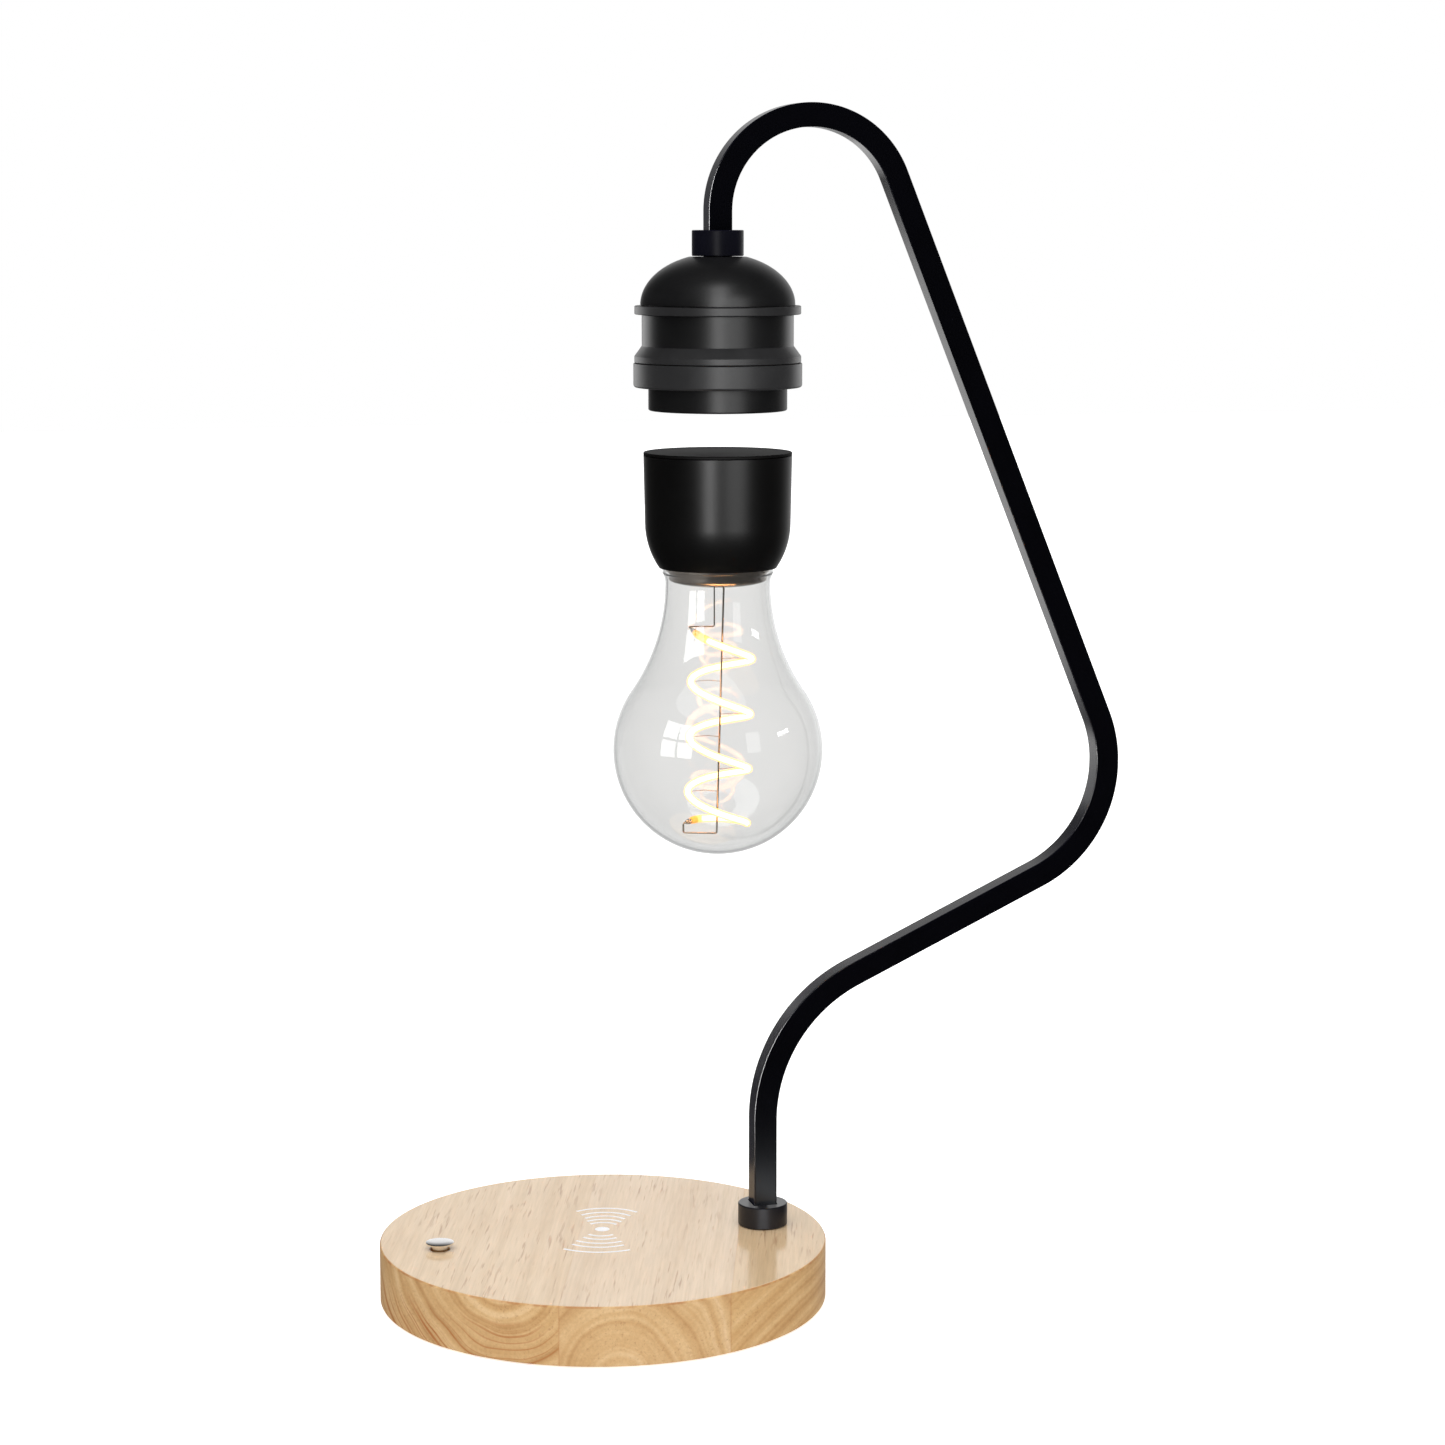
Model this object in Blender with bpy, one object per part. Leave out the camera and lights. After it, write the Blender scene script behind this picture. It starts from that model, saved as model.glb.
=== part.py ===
# Levitating lamp. A round wooden base holds a wireless phone charger, a push button and the foot
# of a bent square arm. The arm carries a magnet head, and a bulb with a magnet in its cap floats
# below the head and turns freely there.
# Units are metres and +Z is up. The table is z = 0, the origin is the middle of the base, and +X
# runs from the push button to the foot of the arm.

import math

import bmesh
import bpy
from mathutils import Matrix, Vector

# Clearances
FIT = 0.0002
SLIDING = 0.0003
CUT_PAST = 0.001

# Points of one turned shape that lie closer than this are one point
WELD = 0.000001

# Base
BASE_DIAMETER = 0.129
BASE_TOP = 0.0175
BASE_LIFT = 0.0004
BASE_SKIN = 0.0037
BASE_RIM = 0.0085
BASE_EDGE = 0.0006
PLATE_THICKNESS = 0.0012
PLATE_LEDGE = 0.0062
PAD_THICKNESS = 0.0012
PAD_MARGIN = 0.0015

# Arm, as the bender works it from the foot up: straights, bends and their angles
FOOT_MARGIN = 0.0005
FOOT_WASHER_RADIUS = 0.0075
BAR = 0.0068
BAR_WALL = 0.001
BAR_CORNER = 0.0006
FOOT_RUN = 0.0317
LOWER_BEND_RADIUS = 0.0465
LOWER_BEND_TURN = math.radians(65.0)
LOWER_RUN = 0.0625
ELBOW_RADIUS = 0.0364
ELBOW_TURN = math.radians(87.1)
LONG_RUN = 0.1695
ARCH_RADIUS = 0.0268
HEAD_RUN = 0.0052

# Head, from its top down
FERRULE_RADIUS = 0.0073
FERRULE_HEIGHT = 0.0072
DOME_RADIUS = 0.0218
DOME_CROWN = 0.01445
DOME_FLAT_RADIUS = 0.0081
SHEET = 0.0012
FLANGE_RADIUS = 0.02345
FLANGE_HEIGHT = 0.0024
BARREL_RADIUS = 0.0214
BARREL_HEIGHT = 0.0086
CONE_HEIGHT = 0.0029
LIP_RADIUS = 0.0235
LIP_HEIGHT = 0.0017
COLLAR_RADIUS = 0.0238
COLLAR_HEIGHT = 0.0068
FACE_INSET = 0.0042
FACE_DROP = 0.0065

# Floating bulb
FLOAT_GAP = 0.0117
CAP_RADIUS = 0.02106
CAP_HEIGHT = 0.0328
CAP_WALL = 0.0017
GLASS_RADIUS = 0.03
GLASS_WALL = 0.0008
NECK_RADIUS = 0.015
NECK_BLEND = 0.0543
NECK_SHOWN = 0.0044
BULB_TURN = math.radians(-15.0)

# Facets round a full circle
BASE_STEPS = 64
HEAD_STEPS = 36
FITTING_STEPS = 24
SMALL_STEPS = 12


# Sizes worked out from the ones above
base_radius = BASE_DIAMETER / 2
cavity_radius = base_radius - BASE_RIM
cavity_ceiling = BASE_TOP - BASE_SKIN
plate_bottom = PAD_THICKNESS + FIT
plate_top = plate_bottom + PLATE_THICKNESS
ledge_height = plate_top + FIT
plate_radius = cavity_radius + PLATE_LEDGE - FIT
screw_circle = cavity_radius + PLATE_LEDGE / 2
foot_reach = cavity_radius - FOOT_MARGIN - FOOT_WASHER_RADIUS
foot_centre = (foot_reach, 0.0)
face_radius = COLLAR_RADIUS - FACE_INSET


def clear_scene():
    for obj in list(bpy.data.objects):
        bpy.data.objects.remove(obj, do_unlink=True)


def material(name, colour, roughness, metallic=0.0):
    made = bpy.data.materials.new(name)
    made.use_nodes = True
    shader = made.node_tree.nodes["Principled BSDF"]
    shader.inputs["Base Color"].default_value = (*colour, 1.0)
    shader.inputs["Roughness"].default_value = roughness
    shader.inputs["Metallic"].default_value = metallic
    return made


def object_of(name, shape, finish, smooth_below=math.radians(35.0)):
    # Takes over the bmesh, closes it up and gives the object its own material
    bmesh.ops.recalc_face_normals(shape, faces=shape.faces)
    mesh = bpy.data.meshes.new(name)
    shape.to_mesh(mesh)
    shape.free()
    mesh.shade_smooth()
    mesh.set_sharp_from_angle(angle=smooth_below)
    made = bpy.data.objects.new(name, mesh)
    bpy.context.scene.collection.objects.link(made)
    made.data.materials.append(finish)
    return made


def helper_of(name, shape):
    # A shape that only cuts or adds to another one
    made = object_of(name, shape, helper_finish)
    made.hide_render = True
    made.display_type = "WIRE"
    return made


def boolean(target, other, operation):
    change = target.modifiers.new(other.name, "BOOLEAN")
    change.operation = operation
    change.solver = "EXACT"
    change.object = other


def rounded(corners, steps=4):
    # A profile in which each corner (r, z, radius) with a radius is an arc
    points = []
    count = len(corners)
    for index, corner in enumerate(corners):
        here = Vector(corner[:2])
        if len(corner) < 3:
            points.append(here)
            continue
        before = (Vector(corners[index - 1][:2]) - here).normalized()
        after = (Vector(corners[(index + 1) % count][:2]) - here).normalized()
        half = before.angle(after) / 2
        reach = corner[2] / math.tan(half)
        centre = here + (before + after).normalized() * (corner[2] / math.sin(half))
        start = here + before * reach - centre
        sweep = math.pi - 2 * half
        if start.cross(here + after * reach - centre) < 0:
            sweep = -sweep
        for step in range(steps + 1):
            points.append(centre + Matrix.Rotation(sweep * step / steps, 2) @ start)
    return points


def turned(profile, steps, centre=(0.0, 0.0)):
    # The solid that a closed profile of (radius, height) points sweeps round the Z axis
    shape = bmesh.new()
    corners = [shape.verts.new((point[0], 0, point[1])) for point in profile]
    for index, corner in enumerate(corners):
        following = corners[(index + 1) % len(corners)]
        if corner.co.x > 0 or following.co.x > 0:
            shape.edges.new((corner, following))
    bmesh.ops.spin(
        shape,
        geom=shape.verts[:] + shape.edges[:],
        axis=(0, 0, 1),
        cent=(0, 0, 0),
        angle=math.tau,
        steps=steps,
        use_duplicate=False,
    )
    bmesh.ops.remove_doubles(shape, verts=shape.verts, dist=WELD)
    bmesh.ops.translate(shape, verts=shape.verts, vec=(centre[0], centre[1], 0))
    return shape


def disc(radius, bottom, top, steps, centre=(0.0, 0.0)):
    return turned([(0, top), (radius, top), (radius, bottom), (0, bottom)], steps, centre)


def ring(inner, outer, bottom, top, steps, centre=(0.0, 0.0)):
    return turned([(inner, top), (outer, top), (outer, bottom), (inner, bottom)], steps, centre)


def block(low, high):
    shape = bmesh.new()
    bmesh.ops.create_cube(shape, size=1.0)
    low, high = Vector(low), Vector(high)
    bmesh.ops.scale(shape, vec=high - low, verts=shape.verts)
    bmesh.ops.translate(shape, vec=(low + high) / 2, verts=shape.verts)
    return shape


def merged(shapes):
    whole = bmesh.new()
    for shape in shapes:
        mesh = bpy.data.meshes.new("joined")
        shape.to_mesh(mesh)
        shape.free()
        whole.from_mesh(mesh)
        bpy.data.meshes.remove(mesh)
    return whole


def skinned(rings):
    # Faces between rings of points, with both ends capped
    shape = bmesh.new()
    loops = [[shape.verts.new(point) for point in ring_points] for ring_points in rings]
    for lower, upper in zip(loops, loops[1:]):
        for index in range(len(lower)):
            after = (index + 1) % len(lower)
            shape.faces.new((lower[index], lower[after], upper[after], upper[index]))
    shape.faces.new(reversed(loops[0]))
    shape.faces.new(loops[-1])
    return shape


def wire(points, radius, sides):
    # A round wire through the points, its section carried along without twisting
    points = [Vector(point) for point in points]
    ahead = (points[1] - points[0]).normalized()
    side = ahead.orthogonal().normalized()
    rings = []
    for index, point in enumerate(points):
        first, last = max(index - 1, 0), min(index + 1, len(points) - 1)
        along = (points[last] - points[first]).normalized()
        side = (side - along * side.dot(along)).normalized()
        other = along.cross(side)
        rings.append(
            [
                point + radius * (math.cos(turn) * side + math.sin(turn) * other)
                for turn in (math.tau * step / sides for step in range(sides))
            ]
        )
    return skinned(rings)


def cord_curve(name, points, radius, sharpness, finish):
    curve = bpy.data.curves.new(name, "CURVE")
    curve.dimensions = "3D"
    curve.bevel_depth = radius
    curve.bevel_resolution = sharpness
    curve.use_fill_caps = True
    spline = curve.splines.new("POLY")
    spline.points.add(len(points) - 1)
    for place, point in zip(spline.points, points):
        place.co = (*point, 1.0)
    made = bpy.data.objects.new(name, curve)
    bpy.context.scene.collection.objects.link(made)
    curve.materials.append(finish)
    return made


def eased(points, radius, steps=3):
    # The same polyline with each inner corner rounded off
    points = [Vector(point) for point in points]
    smooth = [points[0]]
    for before, corner, after in zip(points, points[1:], points[2:]):
        start = corner + (before - corner).normalized() * radius
        end = corner + (after - corner).normalized() * radius
        for step in range(steps + 1):
            share = step / steps
            smooth.append(start.lerp(corner, share).lerp(corner.lerp(end, share), share))
    return smooth + [points[-1]]


def arm_line():
    # The middle line of the bar from the top of the wood to the ferrule: (x, z, heading)
    x, z, heading = foot_reach, BASE_TOP, math.pi / 2
    line = [(x, z, heading)]
    last_turn = 1.5 * math.pi - (heading - LOWER_BEND_TURN + ELBOW_TURN)
    route = [
        (FOOT_RUN, LOWER_BEND_RADIUS, -LOWER_BEND_TURN, 8),
        (LOWER_RUN, ELBOW_RADIUS, ELBOW_TURN, 10),
        (LONG_RUN, ARCH_RADIUS, last_turn, 16),
    ]
    for run, radius, turn, steps in route:
        x += run * math.cos(heading)
        z += run * math.sin(heading)
        line.append((x, z, heading))
        side = math.copysign(radius, turn)
        middle_x = x - side * math.sin(heading)
        middle_z = z + side * math.cos(heading)
        for step in range(1, steps + 1):
            ahead = heading + turn * step / steps
            line.append((middle_x + side * math.sin(ahead), middle_z - side * math.cos(ahead), ahead))
        x, z, heading = line[-1]
    line.append((x, z - HEAD_RUN, heading))
    return line


arm = arm_line()
head_x, ferrule_top, _ = arm[-1]
head_centre = (head_x, 0.0)
ferrule_seat = ferrule_top - FERRULE_HEIGHT
dome_top = ferrule_seat - FIT
dome_height = DOME_CROWN * math.sqrt(1 - (DOME_FLAT_RADIUS / DOME_RADIUS) ** 2)
flange_top = dome_top - dome_height - FIT
flange_bottom = flange_top - FLANGE_HEIGHT
barrel_top = flange_bottom - FIT
cone_top = barrel_top - BARREL_HEIGHT
lip_top = cone_top - CONE_HEIGHT
lip_bottom = lip_top - LIP_HEIGHT
collar_top = lip_bottom - FIT
collar_bottom = collar_top - COLLAR_HEIGHT
face_bottom = collar_bottom - FACE_DROP
cap_top = face_bottom - FLOAT_GAP
cap_bottom = cap_top - CAP_HEIGHT


# Plate, screws and pad that close the base from below

SCREW_RADIUS = 0.0014
SCREW_HEAD_RADIUS = 0.0026
SCREW_HEAD_DEPTH = 0.001
SCREW_LENGTH = 0.009
SCREW_COUNT = 4
screw_tip = plate_bottom + SCREW_LENGTH
screw_turns = [math.tau * (index + 0.5) / SCREW_COUNT for index in range(SCREW_COUNT)]
screw_places = [(screw_circle * math.cos(turn), screw_circle * math.sin(turn)) for turn in screw_turns]


def countersunk(grown, end, past, place):
    # A screw from its flat head face up to its end, or the hole for it when grown and run past
    head_end = plate_bottom + SCREW_HEAD_DEPTH
    profile = [
        (0, end + past),
        (SCREW_RADIUS + grown, end + past),
        (SCREW_RADIUS + grown, head_end),
        (SCREW_HEAD_RADIUS + grown, plate_bottom),
        (SCREW_HEAD_RADIUS + grown, plate_bottom - past),
        (0, plate_bottom - past),
    ]
    return turned(profile, SMALL_STEPS, place)


def bottom_closure():
    plate = object_of("bottom_plate", disc(plate_radius, plate_bottom, plate_top, BASE_STEPS), steel_finish)
    sinks = merged([countersunk(FIT, plate_top, CUT_PAST, place) for place in screw_places])
    boolean(plate, helper_of("plate_sinks", sinks), "DIFFERENCE")
    for number, place in enumerate(screw_places, 1):
        object_of(f"plate_screw_{number}", countersunk(0, screw_tip, 0, place), steel_finish)
    pad_radius = screw_circle - SCREW_HEAD_RADIUS - PAD_MARGIN
    object_of("base_pad", disc(pad_radius, 0, PAD_THICKNESS, BASE_STEPS), rubber_finish)


# Wireless charger under the middle of the wood

CHARGE_COIL_RADIUS = 0.022
CHARGE_COIL_BORE = 0.01
CHARGE_COIL_HEIGHT = 0.0018
FERRITE_MARGIN = 0.002
FERRITE_HEIGHT = 0.0008
charge_coil_top = cavity_ceiling - FIT
charge_coil_bottom = charge_coil_top - CHARGE_COIL_HEIGHT
ferrite_top = charge_coil_bottom - FIT
ferrite_bottom = ferrite_top - FERRITE_HEIGHT
ferrite_radius = CHARGE_COIL_RADIUS + FERRITE_MARGIN


def charger():
    coil = ring(CHARGE_COIL_BORE, CHARGE_COIL_RADIUS, charge_coil_bottom, charge_coil_top, FITTING_STEPS)
    object_of("charging_coil", coil, copper_finish)
    sheet = disc(ferrite_radius, ferrite_bottom, ferrite_top, FITTING_STEPS)
    object_of("ferrite_sheet", sheet, ferrite_finish)


# Control board on its four spacers

BOARD_THICKNESS = 0.0014
BOARD_LENGTH = 0.063
BOARD_WIDTH = 0.032
BOARD_MARGIN = 0.0022
SPACER_RADIUS = 0.0026
SPACER_BORE = 0.0014
SPACER_HEIGHT = 0.0025
SPACER_INSET = 0.0045
CONNECTOR_LENGTH = 0.0088
CONNECTOR_WIDTH = 0.0096
CONNECTOR_HEIGHT = 0.0015
CONNECTOR_MARGIN = 0.0018
board_bottom = plate_top + FIT + SPACER_HEIGHT + FIT
board_top = board_bottom + BOARD_THICKNESS
board_side = BOARD_WIDTH / 2
board_start = BOARD_MARGIN - math.sqrt(cavity_radius**2 - board_side**2)
board_end = board_start + BOARD_LENGTH

# Where each part on the board stands along and across it, its length and width as shares of the
# board's, and its height as a share of the room up to the charger
board_part_shares = [
    (0.60, 0.28, 0.10, 0.20, 0.30),
    (0.60, 0.72, 0.14, 0.22, 0.58),
    (0.82, 0.50, 0.12, 0.24, 0.60),
]


def control_board():
    low = (board_start, -board_side, board_bottom)
    high = (board_end, board_side, board_top)
    board = object_of("control_board", block(low, high), board_finish)
    middle = (board_bottom + board_top) / 2
    parts = []
    for along, across, length, width, height in board_part_shares:
        x = board_start + along * BOARD_LENGTH
        y = (across - 0.5) * BOARD_WIDTH
        reach_x, reach_y = length * BOARD_LENGTH / 2, width * BOARD_WIDTH / 2
        top = board_top + height * (ferrite_bottom - board_top)
        parts.append(block((x - reach_x, y - reach_y, middle), (x + reach_x, y + reach_y, top)))
    # The charging coil's lead ends on the connector beside the switch
    reach, side = CONNECTOR_LENGTH / 2, CONNECTOR_WIDTH / 2
    parts.append(block((connector_x - reach, -side, middle), (connector_x + reach, side, connector_top)))
    boolean(board, helper_of("board_parts", merged(parts)), "UNION")
    ends = (board_start + SPACER_INSET, board_end - SPACER_INSET)
    sides = (SPACER_INSET - board_side, board_side - SPACER_INSET)
    places = [(x, y) for x in ends for y in sides]
    for number, place in enumerate(places, 1):
        spacer = ring(SPACER_BORE, SPACER_RADIUS, plate_top + FIT, board_bottom - FIT, SMALL_STEPS, place)
        object_of(f"board_spacer_{number}", spacer, steel_finish)


# Push button, and the switch on the board that it works

BUTTON_INSET = 0.0035
BUTTON_HEAD_RADIUS = 0.00405
BUTTON_HEAD_HEIGHT = 0.0009
BUTTON_HEAD_EDGE = 0.0003
BUTTON_RISE = 0.0016
BUTTON_NECK_RADIUS = 0.0023
BUTTON_TRAVEL = 0.001
BUTTON_FOOT = 0.0005
CLIP_RADIUS = 0.0036
CLIP_HEIGHT = 0.0009
PLUNGER_RADIUS = 0.0014
SWITCH_SIDE = 0.0062
SWITCH_BORE_SHARE = 0.63
button_centre = (board_start + BUTTON_INSET, 0.0)
connector_x = button_centre[0] + SWITCH_SIDE / 2 + CONNECTOR_MARGIN + CONNECTOR_LENGTH / 2
connector_top = board_top + CONNECTOR_HEIGHT
clip_top = cavity_ceiling - SLIDING
button_end = clip_top - CLIP_HEIGHT - BUTTON_FOOT
switch_bottom = board_top + FIT
switch_top = button_end - BUTTON_TRAVEL - FIT
switch_bore_floor = switch_top - SWITCH_BORE_SHARE * (switch_top - switch_bottom)


def axis_at(name, centre, height):
    # The empty that a moving body hangs on, on the body's joint axis
    axis = bpy.data.objects.new(name, None)
    axis.location = (centre[0], centre[1], height)
    bpy.context.scene.collection.objects.link(axis)
    return axis


def carried(obj, axis):
    # Puts the piece's own origin on the axis and leaves its shape where it was
    obj.data.transform(Matrix.Translation(-Vector(axis.location)))
    obj.parent = axis


def push_button():
    axis = axis_at("button_axis", button_centre, BASE_TOP)
    head_bottom = BASE_TOP + BUTTON_RISE
    head_top = head_bottom + BUTTON_HEAD_HEIGHT
    profile = rounded(
        [
            (0, head_top),
            (BUTTON_HEAD_RADIUS, head_top, BUTTON_HEAD_EDGE),
            (BUTTON_HEAD_RADIUS, head_bottom),
            (BUTTON_NECK_RADIUS, head_bottom),
            (BUTTON_NECK_RADIUS, button_end),
            (0, button_end),
        ],
        steps=2,
    )
    carried(object_of("power_button", turned(profile, FITTING_STEPS, button_centre), chrome_finish), axis)
    clip_bore = BUTTON_NECK_RADIUS + FIT
    clip = ring(clip_bore, CLIP_RADIUS, clip_top - CLIP_HEIGHT, clip_top, SMALL_STEPS, button_centre)
    carried(object_of("button_clip", clip, steel_finish), axis)
    plunger_end = switch_bore_floor + BUTTON_TRAVEL + SLIDING
    plunger = disc(PLUNGER_RADIUS, plunger_end, button_end - FIT, SMALL_STEPS, button_centre)
    carried(object_of("switch_plunger", plunger, dark_plastic_finish), axis)


def touch_switch():
    half = SWITCH_SIDE / 2
    low = (button_centre[0] - half, -half, switch_bottom)
    high = (button_centre[0] + half, half, switch_top)
    switch = object_of("tact_switch", block(low, high), dark_plastic_finish)
    bore_radius = PLUNGER_RADIUS + SLIDING
    bore = disc(bore_radius, switch_bore_floor, switch_top + CUT_PAST, SMALL_STEPS, button_centre)
    boolean(switch, helper_of("switch_bore", bore), "DIFFERENCE")


# Power socket in the rear of the rim

JACK_WIDTH = 0.009
JACK_HEADROOM = 0.0014
JACK_DEPTH = 0.011
JACK_NOSE_RADIUS = 0.0042
JACK_BORE_RADIUS = 0.0031
JACK_BORE_DEPTH = 0.012
JACK_SINK = 0.0015
PIN_RADIUS = 0.001
PIN_SINK = 0.0046
jack_bottom = plate_top + FIT
jack_top = cavity_ceiling - JACK_HEADROOM
jack_middle = (jack_bottom + jack_top) / 2
jack_side = JACK_WIDTH / 2
jack_face = math.sqrt(cavity_radius**2 - jack_side**2) - SLIDING
jack_back = jack_face - JACK_DEPTH
jack_mouth = base_radius - JACK_SINK


def rearward(radius, start, end, steps):
    # A rod that points to the rear at the socket's height
    rod = disc(radius, 0, end - start, steps)
    bmesh.ops.rotate(rod, verts=rod.verts, matrix=Matrix.Rotation(-math.pi / 2, 3, "X"))
    bmesh.ops.translate(rod, verts=rod.verts, vec=(0, start, jack_middle))
    return rod


def power_socket():
    body = block((-jack_side, jack_back, jack_bottom), (jack_side, jack_face, jack_top))
    socket = object_of("power_socket", body, dark_plastic_finish)
    nose = rearward(JACK_NOSE_RADIUS, (jack_back + jack_face) / 2, jack_mouth, FITTING_STEPS)
    boolean(socket, helper_of("socket_nose", nose), "UNION")
    bore_floor = jack_mouth - JACK_BORE_DEPTH
    bore = rearward(JACK_BORE_RADIUS, bore_floor, jack_mouth + CUT_PAST, FITTING_STEPS)
    boolean(socket, helper_of("socket_bore", bore), "DIFFERENCE")
    pin = rearward(PIN_RADIUS, bore_floor + FIT, jack_mouth - PIN_SINK, SMALL_STEPS)
    object_of("socket_pin", pin, steel_finish)


# The arm's two turned fittings: a square socket above, and below it a hollow threaded spigot that
# a washer and a nut hold in the wood or in the dome

SPIGOT_RADIUS = 0.004
SPIGOT_BORE = 0.0022
SPIGOT_PAST_NUT = 0.0008
SOCKET_FLOOR = 0.001
FITTING_EDGE = 0.0003
FOOT_COLLAR_RADIUS = 0.0072
FOOT_COLLAR_HEIGHT = 0.0064
HEAD_WASHER_MARGIN = 0.0013
WASHER_HEIGHT = 0.0012
NUT_ACROSS = 0.0115
NUT_HEIGHT = 0.004
foot_seat = BASE_TOP + FIT
spigot_length = FIT + WASHER_HEIGHT + FIT + NUT_HEIGHT + SPIGOT_PAST_NUT
foot_end = cavity_ceiling - spigot_length


def hexagon(shape):
    # Draws the outside of an upright ring out to the corners of a hexagon
    sixth = math.tau / 6
    outside = max(corner.co.xy.length for corner in shape.verts) - WELD
    for corner in shape.verts:
        if corner.co.xy.length > outside:
            turn = math.atan2(corner.co.y, corner.co.x) % sixth
            corner.co.xy /= math.cos(turn - sixth / 2)
    return shape


def fitting(names, centre, seat, radius, height, held, washer_radius):
    # The spigot passes through something as thick as held, which the washer and the nut clamp
    inner_face = seat - FIT - held
    profile = rounded(
        [
            (SPIGOT_BORE, inner_face - spigot_length),
            (SPIGOT_RADIUS, inner_face - spigot_length),
            (SPIGOT_RADIUS, seat),
            (radius, seat, FITTING_EDGE),
            (radius, seat + height, FITTING_EDGE),
            (SPIGOT_BORE, seat + height),
        ],
        steps=2,
    )
    body = object_of(names[0], turned(profile, FITTING_STEPS, centre), black_metal_finish)
    half = BAR / 2 + FIT
    low = (centre[0] - half, centre[1] - half, seat + SOCKET_FLOOR)
    high = (centre[0] + half, centre[1] + half, seat + height + CUT_PAST)
    boolean(body, helper_of(names[0] + "_socket", block(low, high)), "DIFFERENCE")
    bore = SPIGOT_RADIUS + FIT
    washer_top = inner_face - FIT
    washer_bottom = washer_top - WASHER_HEIGHT
    washer = ring(bore, washer_radius, washer_bottom, washer_top, FITTING_STEPS, centre)
    object_of(names[1], washer, steel_finish)
    nut_top = washer_bottom - FIT
    nut = hexagon(ring(bore, NUT_ACROSS / 2, nut_top - NUT_HEIGHT, nut_top, FITTING_STEPS))
    bmesh.ops.translate(nut, verts=nut.verts, vec=(*centre, 0))
    object_of(names[2], nut, steel_finish)


# Wooden base, with its holes cut to what passes through them

def wood_base():
    profile = rounded(
        [
            (0, cavity_ceiling),
            (cavity_radius, cavity_ceiling),
            (cavity_radius, ledge_height),
            (plate_radius + FIT, ledge_height),
            (plate_radius + FIT, BASE_LIFT),
            (base_radius, BASE_LIFT, BASE_EDGE),
            (base_radius, BASE_TOP, BASE_EDGE),
            (0, BASE_TOP),
        ],
        steps=2,
    )
    base = object_of("wood_base", turned(profile, BASE_STEPS), wood_finish)
    below, above = cavity_ceiling - CUT_PAST, BASE_TOP + CUT_PAST
    holes = [
        disc(BUTTON_NECK_RADIUS + SLIDING, below, above, FITTING_STEPS, button_centre),
        disc(SPIGOT_RADIUS + SLIDING, below, above, FITTING_STEPS, foot_centre),
        rearward(JACK_NOSE_RADIUS + SLIDING, jack_back, base_radius + CUT_PAST, FITTING_STEPS),
    ]
    for place in screw_places:
        pilot = disc(SCREW_RADIUS + FIT, ledge_height - CUT_PAST, screw_tip + FIT, SMALL_STEPS, place)
        holes.append(pilot)
    boolean(base, helper_of("wood_holes", merged(holes)), "DIFFERENCE")


# Bent arm

def bar_section(half, corner):
    # A square with its corners taken off
    quarters = [Matrix.Rotation(turn * math.pi / 2, 2) for turn in range(4)]
    edge = [Vector((half, half - corner)), Vector((half - corner, half))]
    return [quarter @ point for quarter in quarters for point in edge]


def bent_bar():
    # A square tube swept along the arm's line and left open at both ends
    start = (foot_reach, foot_seat + SOCKET_FLOOR + FIT, arm[0][2])
    end = (head_x, ferrule_seat + SOCKET_FLOOR + FIT, arm[-1][2])
    sections = (bar_section(BAR / 2, BAR_CORNER), bar_section(BAR / 2 - BAR_WALL, BAR_CORNER / 2))
    count = len(sections[0])
    shape = bmesh.new()
    stations = []
    for x, z, heading in [start] + arm[1:-1] + [end]:
        middle = Vector((x, 0, z))
        across = Vector((-math.sin(heading), 0, math.cos(heading)))
        stations.append(
            [
                [shape.verts.new(middle + u * across + v * Vector((0, 1, 0))) for u, v in section]
                for section in sections
            ]
        )
    around = [(index, (index + 1) % count) for index in range(count)]
    for here, ahead in zip(stations, stations[1:]):
        for near, far in zip(here, ahead):
            for index, after in around:
                shape.faces.new((near[index], near[after], far[after], far[index]))
    for outside, inside in (stations[0], stations[-1]):
        for index, after in around:
            shape.faces.new((outside[index], outside[after], inside[after], inside[index]))
    object_of("arm_tube", shape, black_metal_finish)


# Shell of the head

COUPLING_WALL = 0.0018
COUPLING_REACH = 0.002
COUPLING_PLAY = 0.0008
TRIM_EDGE = 0.0003
COLLAR_EDGE = 0.0008
COLLAR_WALL = 0.0018
COLLAR_SHOULDER = 0.002
FACE_WALL = 0.0012
FACE_FLOOR = 0.001
FACE_EDGE = 0.0005
coupling_radius = BARREL_RADIUS - SHEET - FIT
coupling_bore = coupling_radius - COUPLING_WALL
face_bore = face_radius - FACE_WALL


def dome_line(radius, crown, height, steps):
    # Part of an ellipse, from the given height down to its widest line
    top = math.asin(height / crown)
    turns = [top * (1 - step / steps) for step in range(steps + 1)]
    foot = flange_top + FIT
    return [(radius * math.cos(turn), foot + crown * math.sin(turn)) for turn in turns]


def head_dome():
    outside = dome_line(DOME_RADIUS, DOME_CROWN, dome_height, 8)
    inside = dome_line(DOME_RADIUS - SHEET, DOME_CROWN - SHEET, dome_height - SHEET, 5)
    hole = SPIGOT_RADIUS + FIT
    profile = [(hole, outside[0][1])] + outside + inside[::-1] + [(hole, inside[0][1])]
    object_of("head_dome", turned(profile, HEAD_STEPS, head_centre), black_metal_finish)


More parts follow.
